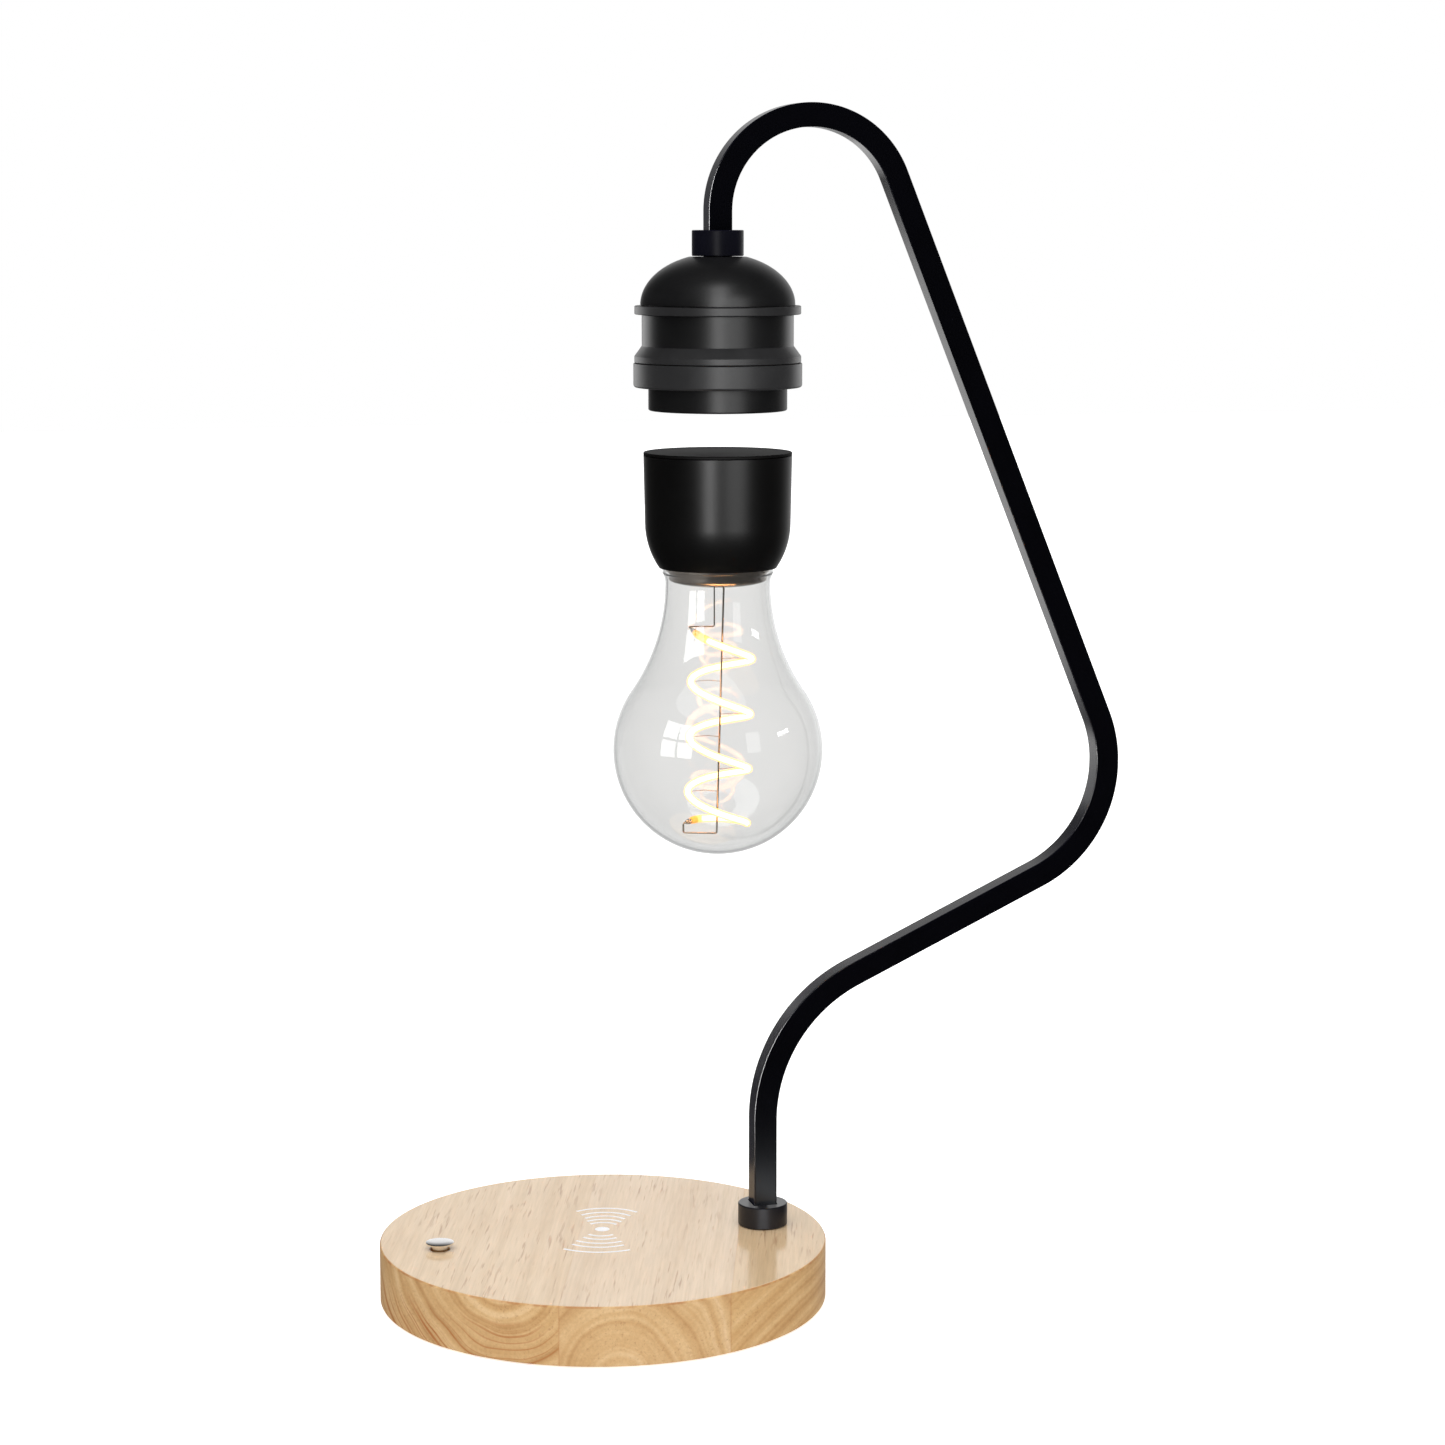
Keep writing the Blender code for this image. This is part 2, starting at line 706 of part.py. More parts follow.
def head_flange():
    # The ring that couples the dome and the barrel, with a step into each
    upper = DOME_RADIUS - SHEET - COUPLING_PLAY
    profile = rounded(
        [
            (coupling_bore, flange_top + COUPLING_REACH),
            (upper, flange_top + COUPLING_REACH),
            (upper, flange_top),
            (FLANGE_RADIUS, flange_top, TRIM_EDGE),
            (FLANGE_RADIUS, flange_bottom, TRIM_EDGE),
            (coupling_radius, flange_bottom),
            (coupling_radius, flange_bottom - COUPLING_REACH),
            (coupling_bore, flange_bottom - COUPLING_REACH),
        ],
        steps=1,
    )
    object_of("head_flange", turned(profile, HEAD_STEPS, head_centre), black_metal_finish)


def head_shell():
    outside = [
        (BARREL_RADIUS, barrel_top),
        (BARREL_RADIUS, cone_top),
        (LIP_RADIUS, lip_top),
        (LIP_RADIUS, lip_bottom),
    ]
    inside = [(radius - SHEET, height) for radius, height in reversed(outside)]
    object_of("head_shell", turned(outside + inside, HEAD_STEPS, head_centre), black_metal_finish)


def head_collar():
    shoulder = collar_bottom + COLLAR_SHOULDER
    profile = rounded(
        [
            (COLLAR_RADIUS - COLLAR_WALL, collar_top),
            (COLLAR_RADIUS, collar_top, TRIM_EDGE),
            (COLLAR_RADIUS, collar_bottom, COLLAR_EDGE),
            (face_radius + FIT, collar_bottom),
            (face_radius + FIT, shoulder),
            (COLLAR_RADIUS - COLLAR_WALL, shoulder),
        ],
        steps=2,
    )
    object_of("head_collar", turned(profile, HEAD_STEPS, head_centre), black_metal_finish)


def face_cup():
    # Drops through the collar and hangs on its shoulder by a rim
    shoulder = collar_bottom + COLLAR_SHOULDER + FIT
    rim = COLLAR_RADIUS - COLLAR_WALL - FIT
    profile = rounded(
        [
            (0, face_bottom),
            (face_radius, face_bottom, FACE_EDGE),
            (face_radius, shoulder),
            (rim, shoulder),
            (rim, shoulder + FACE_WALL),
            (face_bore, shoulder + FACE_WALL),
            (face_bore, face_bottom + FACE_FLOOR),
            (0, face_bottom + FACE_FLOOR),
        ],
        steps=2,
    )
    object_of("head_face_cup", turned(profile, HEAD_STEPS, head_centre), dark_plastic_finish)


# What the head holds, stacked up from the floor of its face cup

POWER_COIL_MARGIN = 0.0012
POWER_COIL_BORE = 0.007
POWER_COIL_HEIGHT = 0.003
SENSOR_BOARD_MARGIN = 0.0008
SENSOR_BOARD_HEIGHT = 0.0012
BOBBIN_MARGIN = 0.0016
BOBBIN_HUB = 0.0013
BOBBIN_CHEEK = 0.0012
BOBBIN_HEIGHT = 0.013
WINDING_INSET = 0.0006
CORE_RADIUS = 0.006
BIAS_MAGNET_RADIUS = 0.008
BIAS_MAGNET_HEIGHT = 0.004
DRIVER_BOARD_MARGIN = 0.0016
DRIVER_BOARD_HEIGHT = 0.0014
power_coil_bottom = face_bottom + FACE_FLOOR + FIT
power_coil_top = power_coil_bottom + POWER_COIL_HEIGHT
sensor_bottom = power_coil_top + FIT
sensor_top = sensor_bottom + SENSOR_BOARD_HEIGHT
bobbin_bottom = sensor_top + FIT
bobbin_top = bobbin_bottom + BOBBIN_HEIGHT
bias_magnet_bottom = bobbin_top + FIT
bias_magnet_top = bias_magnet_bottom + BIAS_MAGNET_HEIGHT
driver_bottom = bias_magnet_top + FIT
driver_top = driver_bottom + DRIVER_BOARD_HEIGHT


def in_head(name, radius, bottom, top, finish):
    object_of(name, disc(radius, bottom, top, FITTING_STEPS, head_centre), finish)


def head_works():
    coil_radius = face_bore - POWER_COIL_MARGIN
    coil = ring(POWER_COIL_BORE, coil_radius, power_coil_bottom, power_coil_top, FITTING_STEPS, head_centre)
    object_of("power_coil", coil, copper_finish)
    in_head("sensor_board", face_bore - SENSOR_BOARD_MARGIN, sensor_bottom, sensor_top, board_finish)
    bore, cheek = CORE_RADIUS + FIT, face_bore - BOBBIN_MARGIN
    hub = bore + BOBBIN_HUB
    low, high = bobbin_bottom + BOBBIN_CHEEK, bobbin_top - BOBBIN_CHEEK
    bobbin = [
        (bore, bobbin_top),
        (cheek, bobbin_top),
        (cheek, high),
        (hub, high),
        (hub, low),
        (cheek, low),
        (cheek, bobbin_bottom),
        (bore, bobbin_bottom),
    ]
    object_of("coil_bobbin", turned(bobbin, FITTING_STEPS, head_centre), dark_plastic_finish)
    winding = ring(hub + FIT, cheek - WINDING_INSET, low + FIT, high - FIT, FITTING_STEPS, head_centre)
    object_of("lift_coil", winding, copper_finish)
    in_head("iron_core", CORE_RADIUS, bobbin_bottom, bobbin_top, steel_finish)
    in_head("bias_magnet", BIAS_MAGNET_RADIUS, bias_magnet_bottom, bias_magnet_top, magnet_finish)
    in_head("driver_board", coupling_bore - DRIVER_BOARD_MARGIN, driver_bottom, driver_top, board_finish)


# Leads that the base and the arm hold

LEAD_RADIUS = 0.0015
SOCKET_LEAD_RADIUS = 0.0012
COIL_LEAD_RADIUS = 0.0005
COIL_LEAD_BEND = 0.0014
lead_level = plate_top + FIT + LEAD_RADIUS
board_level = (board_bottom + board_top) / 2


def leads():
    # From the edge of the control board up through the bar to the driver board
    foot = [(board_end + FIT, 0, lead_level), (foot_reach, 0, lead_level), (foot_reach, 0, BASE_TOP)]
    run = eased(foot, foot_end - lead_level)[:-1]
    run += [Vector((x, 0, z)) for x, z, _ in arm[1:-1]]
    run.append(Vector((head_x, 0, driver_top + FIT)))
    cord_curve("arm_lead", run, LEAD_RADIUS, 2, dark_plastic_finish)
    # From the back of the socket to the edge of the control board
    start, end = jack_back - FIT, board_side + FIT
    corners = [
        (0, start, jack_middle),
        (0, start + (end - start) / 3, jack_middle),
        (0, end + (start - end) / 3, board_level),
        (0, end, board_level),
    ]
    run = eased(corners, (start - end) / 6)
    cord_curve("socket_lead", run, SOCKET_LEAD_RADIUS, 2, dark_plastic_finish)
    # From the rim of the charging coil out past the ferrite and down to its connector
    level = (charge_coil_bottom + charge_coil_top) / 2
    rim, land = -CHARGE_COIL_RADIUS - FIT, connector_top + FIT
    corners = [(rim, 0, level), (connector_x, 0, level), (connector_x, 0, land)]
    cord_curve("coil_lead", eased(corners, COIL_LEAD_BEND), COIL_LEAD_RADIUS, 2, copper_finish)


# Cap of the floating bulb

CAP_STRAIGHT = 0.02
CAP_TAPER = 0.0004
CAP_LIP = 0.0007
CAP_MOUTH_HEIGHT = 0.0028
LID_HEIGHT = 0.0008
LID_SPIGOT = 0.0013
LID_EDGE = 0.0003
FLARE_START = 0.0002
FLARE_RADIUS = 0.005
FLARE_RISE = 0.0027
NECK_TOP_RISE = 0.0035
neck_height = math.sqrt((GLASS_RADIUS + NECK_BLEND) ** 2 - (NECK_RADIUS + NECK_BLEND) ** 2)
neck_waist = cap_bottom - NECK_SHOWN
glass_middle = neck_waist - neck_height
flare_reach = FLARE_RADIUS - math.sqrt(FLARE_RADIUS**2 - FLARE_RISE**2)
neck_top_radius = NECK_RADIUS + flare_reach
cap_mouth = neck_top_radius + FIT
lid_bottom = cap_top - LID_HEIGHT
spigot_bottom = lid_bottom - LID_SPIGOT
cap_bore = CAP_RADIUS - CAP_WALL - CAP_TAPER


def bulb_cap(axis):
    # A straight upper part that tapers a little, then an arc in to the lip round the glass
    rim = lid_bottom - FIT
    bend_top = cap_top - CAP_STRAIGHT
    bend_radius = CAP_RADIUS - CAP_TAPER
    drop = bend_top - cap_bottom
    shift = bend_radius - cap_mouth - CAP_LIP
    curve = (drop**2 + shift**2) / (2 * shift)
    turns = [math.asin(drop / curve) * step / 5 for step in range(6)]
    outside = [
        (bend_radius - curve * (1 - math.cos(turn)), bend_top - curve * math.sin(turn)) for turn in turns
    ]
    inside = [
        (cap_mouth, cap_bottom),
        (cap_mouth, cap_bottom + CAP_MOUTH_HEIGHT),
        (cap_bore, bend_top),
        (CAP_RADIUS - CAP_WALL, rim),
    ]
    profile = [(CAP_RADIUS, rim)] + outside + inside
    carried(object_of("bulb_cap", turned(profile, HEAD_STEPS, head_centre), black_plastic_finish), axis)


def cap_lid(axis):
    spigot = cap_bore - FIT
    profile = rounded(
        [
            (0, cap_top),
            (CAP_RADIUS, cap_top, LID_EDGE),
            (CAP_RADIUS, lid_bottom),
            (spigot, lid_bottom),
            (spigot, spigot_bottom),
            (0, spigot_bottom),
        ],
        steps=2,
    )
    carried(object_of("cap_lid", turned(profile, HEAD_STEPS, head_centre), black_plastic_finish), axis)


# What the cap holds, hung down from its lid

FLOAT_MAGNET_RADIUS = 0.015
FLOAT_MAGNET_HEIGHT = 0.0078
RECEIVER_COIL_HEIGHT = 0.0025
CARRIER_WALL = 0.0005
CARRIER_FLOOR = 0.0029
RECEIVER_BOARD_MARGIN = 0.0015
RECEIVER_BOARD_HEIGHT = 0.0014


def cap_works(float_axis, axis):
    top = spigot_bottom - FIT
    magnet_bottom = top - FLOAT_MAGNET_HEIGHT
    magnet = disc(FLOAT_MAGNET_RADIUS, magnet_bottom, top, FITTING_STEPS, head_centre)
    carried(object_of("float_magnet", magnet, magnet_finish), float_axis)
    outer = cap_bore - FIT
    pocket = FLOAT_MAGNET_RADIUS + SLIDING
    coil_bottom = top - RECEIVER_COIL_HEIGHT
    coil = ring(pocket + CARRIER_WALL, outer, coil_bottom, top, FITTING_STEPS, head_centre)
    carried(object_of("receiver_coil", coil, copper_finish), axis)
    pocket_floor = magnet_bottom - SLIDING
    carrier_bottom = pocket_floor - CARRIER_FLOOR
    profile = [
        (0, pocket_floor),
        (pocket, pocket_floor),
        (pocket, coil_bottom - FIT),
        (outer, coil_bottom - FIT),
        (outer, carrier_bottom),
        (0, carrier_bottom),
    ]
    carrier = turned(profile, FITTING_STEPS, head_centre)
    carried(object_of("magnet_carrier", carrier, black_plastic_finish), axis)
    board_upper = carrier_bottom - FIT
    radius = outer - RECEIVER_BOARD_MARGIN
    board = disc(radius, board_upper - RECEIVER_BOARD_HEIGHT, board_upper, FITTING_STEPS, head_centre)
    carried(object_of("receiver_board", board, board_finish), axis)


# Glass, and the domed plate that closes its neck

GLASS_STEPS = 32
STEM_HEIGHT = 0.0036
STEM_DEPTH = 0.0029
STEM_CROWN = 0.0025
STEM_RIM_DEPTH = 0.0009
stem_edge = cap_bottom - STEM_DEPTH
stem_bottom = stem_edge - STEM_CROWN


def glass_line(inset, steps):
    # From the lowest point round the globe, up the blend into the waist and out to the flare
    globe, blend, flare = GLASS_RADIUS - inset, NECK_BLEND + inset, FLARE_RADIUS + inset
    meet = math.asin(neck_height / (GLASS_RADIUS + NECK_BLEND))
    line = [(0, glass_middle - globe)]
    for step in range(1, steps + 1):
        turn = (meet + math.pi / 2) * step / steps - math.pi / 2
        line.append((globe * math.cos(turn), glass_middle + globe * math.sin(turn)))
    waist_steps = steps // 2
    blend_reach = NECK_RADIUS + NECK_BLEND
    for step in range(1, waist_steps + 1):
        turn = meet * (1 - step / waist_steps)
        line.append((blend_reach - blend * math.cos(turn), neck_waist - blend * math.sin(turn)))
    rise = math.asin(FLARE_RISE / FLARE_RADIUS)
    flare_middle = NECK_RADIUS + FLARE_RADIUS
    for step in range(4):
        turn = rise * step / 3
        height = neck_waist + FLARE_START + flare * math.sin(turn)
        line.append((flare_middle - flare * math.cos(turn), height))
    line.append((neck_top_radius - inset, cap_bottom + NECK_TOP_RISE))
    return line


def glass_bulb(axis):
    profile = glass_line(0, 10) + glass_line(GLASS_WALL, 8)[::-1]
    carried(object_of("glass_bulb", turned(profile, GLASS_STEPS, head_centre), glass_finish), axis)


def stem_plate(axis):
    # Its lower step sits in the waist and bulges down in an ellipse, and its rim is in the top of
    # the neck
    waist = NECK_RADIUS - GLASS_WALL - FIT
    rim = neck_top_radius - GLASS_WALL - FIT
    rim_bottom = cap_bottom - STEM_RIM_DEPTH
    turns = [math.pi / 2 * step / 6 for step in range(6)]
    bulge = [(waist * math.cos(turn), stem_edge - STEM_CROWN * math.sin(turn)) for turn in turns]
    profile = [
        (0, stem_edge + STEM_HEIGHT),
        (rim, stem_edge + STEM_HEIGHT),
        (rim, rim_bottom),
        (waist, rim_bottom),
        *bulge,
        (0, stem_bottom),
    ]
    carried(object_of("stem_plate", turned(profile, FITTING_STEPS, head_centre), mirror_finish), axis)


# Filament coil and the wires that carry it

FILAMENT_RADIUS = 0.00865
FILAMENT_WIRE = 0.0011
FILAMENT_TOP_DROP = 0.0123
FILAMENT_FOOT_RISE = 0.0075
FILAMENT_HALF_TURNS = 7
FILAMENT_LAST_DROP = 0.0017
FILAMENT_TRIM = 0.15
FILAMENT_TILT = math.radians(4.85)
FILAMENT_POINTS = 10
TIP_RADIUS = 0.0008
TIP_LENGTH = 0.0024
MAST_RADIUS = 0.00045
MAST_TOP_SIDE = 0.0017
MAST_FOOT_SIDE = -0.0003
MAST_FOOT = 0.0028
HOOK_RADIUS = 0.0002
LEAD_SIDE = 0.001
WIRE_RADIUS = 0.0003
WIRE_BEND = 0.0006
WIRE_APPROACH = 0.0012
filament_top = stem_bottom - FILAMENT_TOP_DROP
filament_foot = glass_middle - GLASS_RADIUS + FILAMENT_FOOT_RISE
half_pitch = (filament_top - filament_foot - FILAMENT_LAST_DROP) / FILAMENT_HALF_TURNS


def in_bulb(x, y, z):
    # A point given as it stands before the bulb is turned on its axis
    placed = Matrix.Rotation(BULB_TURN, 2) @ Vector((x, y))
    return Vector((head_x + placed.x, placed.y, z))


def mast_side(z):
    # The mast leans a little, and the coil is wound round it
    share = (stem_bottom - z) / (stem_bottom - filament_foot)
    return MAST_TOP_SIDE + (MAST_FOOT_SIDE - MAST_TOP_SIDE) * share


def filament_point(half_turns):
    # Starts at the left, comes forward and winds down like a left-hand thread, the last half turn
    # flatter than the others
    turn = math.pi * (1 + half_turns)
    x, y = FILAMENT_RADIUS * math.cos(turn), FILAMENT_RADIUS * math.sin(turn)
    steep = min(half_turns, FILAMENT_HALF_TURNS)
    drop = steep * half_pitch + (half_turns - steep) * FILAMENT_LAST_DROP
    z = filament_top - drop - x * math.tan(FILAMENT_TILT)
    return in_bulb(mast_side(z) + x, y, z)


def least_gap(points, radius):
    # Between stretches of a tube that lie further apart along it than half a turn of points
    apart = FILAMENT_POINTS // 2
    pairs = ((a, b) for index, a in enumerate(points) for b in points[index + apart :])
    return min((a - b).length for a, b in pairs) - 2 * radius


def filament(axis):
    # Returns, for each end, where its wire turns into line with it and where that wire stops
    halves = FILAMENT_HALF_TURNS + 1
    count = halves * FILAMENT_POINTS // 2
    length = halves - 2 * FILAMENT_TRIM
    points = [filament_point(FILAMENT_TRIM + length * step / count) for step in range(count + 1)]
    print("filament: least gap to itself", round(least_gap(points, FILAMENT_WIRE), 5), "m")
    carried(cord_curve("filament", points, FILAMENT_WIRE, 1, glow_finish), axis)
    ends = []
    for name, end, inner in (("top", points[0], points[1]), ("bottom", points[-1], points[-2])):
        outward = (end - inner).normalized()
        start = end + outward * FIT
        finish = start + outward * TIP_LENGTH
        tip = object_of(f"filament_tip_{name}", wire([start, finish], TIP_RADIUS, 8), steel_finish)
        carried(tip, axis)
        ends.append((finish + outward * (FIT + WIRE_APPROACH), finish + outward * FIT))
    return ends


def bulb_wires(axis, top_end, bottom_end):
    # The mast comes down the middle with a fine hook to each strand it passes, and turns up to
    # the bottom end. The short lead drops beside it to the top end.
    start = stem_bottom - FIT
    foot = bottom_end[0].z - MAST_FOOT
    top, bottom = in_bulb(mast_side(start), 0, start), in_bulb(mast_side(foot), 0, foot)
    corner = Vector((*bottom_end[0].xy, foot))
    mast = object_of(
        "mast_wire", wire(eased([top, bottom, corner, *bottom_end], WIRE_BEND), MAST_RADIUS, 6), steel_finish
    )
    hooks = []
    for half in range(1, FILAMENT_HALF_TURNS):
        strand = filament_point(half)
        root = top.lerp(bottom, (start - strand.z) / (start - foot))
        reach = (strand - root).normalized() * (FILAMENT_WIRE + FIT)
        hooks.append(wire([root, strand - reach], HOOK_RADIUS, 4))
    hook_set = helper_of("mast_hooks", merged(hooks))
    boolean(mast, hook_set, "UNION")
    carried(mast, axis)
    carried(hook_set, axis)
    side_top, side_corner = in_bulb(-LEAD_SIDE, 0, start), in_bulb(-LEAD_SIDE, 0, top_end[0].z)
    lead = wire(eased([side_top, side_corner, *top_end], WIRE_BEND), WIRE_RADIUS, 6)
    carried(object_of("lead_wire", lead, steel_finish), axis)


clear_scene()

# Materials
helper_finish = material("helper", (0.8, 0.2, 0.2), 0.5)
wood_finish = material("pale_wood", (0.72, 0.52, 0.33), 0.45)
black_metal_finish = material("black_metal", (0.012, 0.012, 0.013), 0.35, 0.6)
black_plastic_finish = material("black_plastic", (0.015, 0.015, 0.016), 0.42)
dark_plastic_finish = material("dark_plastic", (0.03, 0.03, 0.032), 0.5)
chrome_finish = material("chrome", (0.85, 0.85, 0.86), 0.08, 1.0)
mirror_finish = material("mirrored_plate", (0.8, 0.76, 0.72), 0.12, 1.0)
magnet_finish = material("nickel_magnet", (0.66, 0.64, 0.6), 0.2, 1.0)
steel_finish = material("steel", (0.62, 0.62, 0.63), 0.3, 1.0)
rubber_finish = material("rubber", (0.02, 0.02, 0.02), 0.85)
board_finish = material("board_green", (0.02, 0.16, 0.07), 0.5)
copper_finish = material("copper", (0.72, 0.32, 0.14), 0.35, 1.0)
ferrite_finish = material("ferrite", (0.08, 0.08, 0.085), 0.7)
glass_finish = material("clear_glass", (0.95, 0.96, 0.95), 0.02)
glow_finish = material("glowing_filament", (1.0, 0.72, 0.36), 0.4)

# Stand
wood_base()
bottom_closure()
charger()
control_board()
touch_switch()
power_socket()
fitting(
    ("foot_collar", "foot_washer", "foot_nut"),
    foot_centre,
    foot_seat,
    FOOT_COLLAR_RADIUS,
    FOOT_COLLAR_HEIGHT,
    BASE_SKIN,
    FOOT_WASHER_RADIUS,
)
fitting(
    ("head_ferrule", "ferrule_washer", "ferrule_nut"),
    head_centre,
    ferrule_seat,
    FERRULE_RADIUS,
    FERRULE_HEIGHT,
    SHEET,
    DOME_FLAT_RADIUS - HEAD_WASHER_MARGIN,
)
bent_bar()
head_dome()
head_flange()
head_shell()
head_collar()
face_cup()
head_works()
leads()

# What moves
push_button()
float_axis = axis_at("float_axis", head_centre, cap_top)
bulb_axis = axis_at("bulb_axis", head_centre, cap_top)
bulb_cap(bulb_axis)
cap_lid(bulb_axis)
cap_works(float_axis, bulb_axis)
glass_bulb(bulb_axis)
stem_plate(bulb_axis)
filament_ends = filament(bulb_axis)
bulb_wires(bulb_axis, *filament_ends)
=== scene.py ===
# Levitating lamp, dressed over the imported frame. Lengths are metres, +Z is up, and the lamp
# stands on z = 0 with its push button towards -X and the foot of the arm towards +X.
import math

import bmesh
import bpy
from mathutils import Matrix, Vector


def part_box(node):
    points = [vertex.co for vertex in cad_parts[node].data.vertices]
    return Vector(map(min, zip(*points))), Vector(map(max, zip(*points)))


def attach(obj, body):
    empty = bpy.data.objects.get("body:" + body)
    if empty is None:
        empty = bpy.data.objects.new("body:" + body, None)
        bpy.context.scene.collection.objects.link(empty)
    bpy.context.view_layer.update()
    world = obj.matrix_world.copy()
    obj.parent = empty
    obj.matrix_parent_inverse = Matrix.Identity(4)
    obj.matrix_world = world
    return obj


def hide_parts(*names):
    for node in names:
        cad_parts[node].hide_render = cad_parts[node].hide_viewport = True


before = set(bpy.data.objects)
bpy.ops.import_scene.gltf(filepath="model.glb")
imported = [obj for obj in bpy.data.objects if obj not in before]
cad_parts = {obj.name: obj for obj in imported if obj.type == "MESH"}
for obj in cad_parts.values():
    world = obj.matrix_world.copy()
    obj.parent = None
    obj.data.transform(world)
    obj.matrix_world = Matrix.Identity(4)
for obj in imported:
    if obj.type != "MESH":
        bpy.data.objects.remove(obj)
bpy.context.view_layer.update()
scene = bpy.context.scene
mm = 0.001


def axisOf(node):
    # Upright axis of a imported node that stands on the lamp's middle plane
    low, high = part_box(node)
    return ((low.x + high.x) / 2, 0.0)


headAxis, buttonAxis, footAxis = axisOf("head_dome"), axisOf("power_button"), axisOf("foot_collar")
print("frame loaded:", len(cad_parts), "nodes")


# Nodes for materials

def newMaterial(name):
    material = bpy.data.materials.new(name)
    material.use_nodes = True
    return material, material.node_tree, material.node_tree.nodes["Principled BSDF"]


def addNode(tree, kind, sockets=None, **settings):
    made = tree.nodes.new(kind)
    for key, value in settings.items():
        setattr(made, key, value)
    feed(tree, made, sockets or {})
    return made


def feed(tree, made, sockets):
    for key, value in sockets.items():
        if isinstance(value, bpy.types.NodeSocket):
            tree.links.new(value, made.inputs[key])
        else:
            made.inputs[key].default_value = value


def sums(tree, operation, *values):
    return addNode(tree, "ShaderNodeMath", dict(enumerate(values)), operation=operation).outputs[0]


def objectPlace(tree, scale=(1, 1, 1), turn=(0, 0, 0)):
    place = addNode(tree, "ShaderNodeTexCoord").outputs["Object"]
    return addNode(tree, "ShaderNodeMapping", {"Vector": place, "Scale": scale, "Rotation": turn}).outputs[0]


def noise(tree, where, scale, detail=3.0, rough=0.55, twist=0.0):
    sockets = {"Vector": where, "Scale": scale, "Detail": detail, "Roughness": rough, "Distortion": twist}
    return addNode(tree, "ShaderNodeTexNoise", sockets).outputs["Fac"]


def ramp(tree, value, *stops):
    # Each stop is a place and a colour, and one number stands for a grey
    made = addNode(tree, "ShaderNodeValToRGB", {"Fac": value})
    elements = made.color_ramp.elements
    while len(elements) < len(stops):
        elements.new(0.5)
    for element, (where, colour) in zip(elements, stops):
        element.position = where
        element.color = (*([colour] * 3 if isinstance(colour, (int, float)) else colour), 1)
    return made.outputs["Color"]


def spread(tree, value, low, high, start=0.0, end=1.0):
    sockets = {"Value": value, "From Min": start, "From Max": end, "To Min": low, "To Max": high}
    return addNode(tree, "ShaderNodeMapRange", sockets).outputs["Result"]


def mixed(tree, amount, first, second, kind="MIX"):
    sockets = {0: amount, 6: first, 7: second}
    return addNode(tree, "ShaderNodeMix", sockets, data_type="RGBA", blend_type=kind).outputs[2]


def tinted(tree, first, second):
    return mixed(tree, 1.0, first, second, "MULTIPLY")


def bumped(tree, height, distance, strength):
    sockets = {"Height": height, "Distance": distance, "Strength": strength}
    return addNode(tree, "ShaderNodeBump", sockets).outputs["Normal"]


def coat(tree, shader, colour, gloss, relief, **more):
    feed(tree, shader, {"Base Color": colour, "Roughness": gloss, "Normal": relief, **more})


def shaded(colour, share):
    return [channel * share for channel in colour]


# Shapes

def finishMesh(name, shape, materials, sharpAbove=35.0):
    bmesh.ops.remove_doubles(shape, verts=shape.verts, dist=1e-7)
    bmesh.ops.recalc_face_normals(shape, faces=shape.faces)
    mesh = bpy.data.meshes.new(name)
    shape.to_mesh(mesh)
    shape.free()
    piece = bpy.data.objects.new(name, mesh)
    scene.collection.objects.link(piece)
    for material in materials if isinstance(materials, list) else [materials]:
        mesh.materials.append(material)
    mesh.shade_smooth()
    mesh.set_sharp_from_angle(angle=math.radians(sharpAbove))
    return piece


def filleted(outline, steps=6):
    # Rounds each corner that has a third number, which is its radius
    done = []
    for index, corner in enumerate(outline):
        if len(corner) < 3:
            done.append(corner)
            continue
        here = Vector(corner[:2])
        back = (Vector(outline[index - 1][:2]) - here).normalized()
        ahead = (Vector(outline[(index + 1) % len(outline)][:2]) - here).normalized()
        half = back.angle(ahead) / 2
        reach = corner[2] / math.tan(half)
        middle = here + (back + ahead).normalized() * corner[2] / math.sin(half)
        start, end = here + back * reach - middle, here + ahead * reach - middle
        sweep = math.atan2(start.cross(end), start.dot(end))
        for step in range(steps + 1):
            point = middle + Matrix.Rotation(sweep * step / steps, 2) @ start
            done.append((point.x, point.y))
    return done


def skin(shape, near, far):
    # Faces between two rings of corners, either of which may be one point on the axis
    count = max(len(near), len(far))
    for index in range(count):
        after = (index + 1) % count
        corners = [near[index % len(near)], near[after % len(near)]]
        corners += [far[after % len(far)], far[index % len(far)]]
        corners = list(dict.fromkeys(corners))
        if len(corners) > 2:
            shape.faces.new(corners)


def latheShape(outline, centre=(0.0, 0.0), steps=128):
    # Turns an outline of (radius, height). One that starts and ends off the axis closes on itself.
    shape = bmesh.new()
    x, y = centre
    turns = [math.tau * step / steps for step in range(steps)]
    rings = []
    for radius, height in outline:
        spots = [(x + radius * math.cos(turn), y + radius * math.sin(turn), height) for turn in turns]
        if radius < 1e-7:
            spots = [(x, y, height)]
        rings.append([shape.verts.new(spot) for spot in spots])
    for near, far in zip(rings, rings[1:]):
        skin(shape, near, far)
    if len(rings[0]) > 1 and len(rings[-1]) > 1:
        skin(shape, rings[-1], rings[0])
    return shape


def latheFrom(name, outline, materials, centre=(0.0, 0.0), steps=128, sharpAbove=35.0):
    return finishMesh(name, latheShape(outline, centre, steps), materials, sharpAbove)


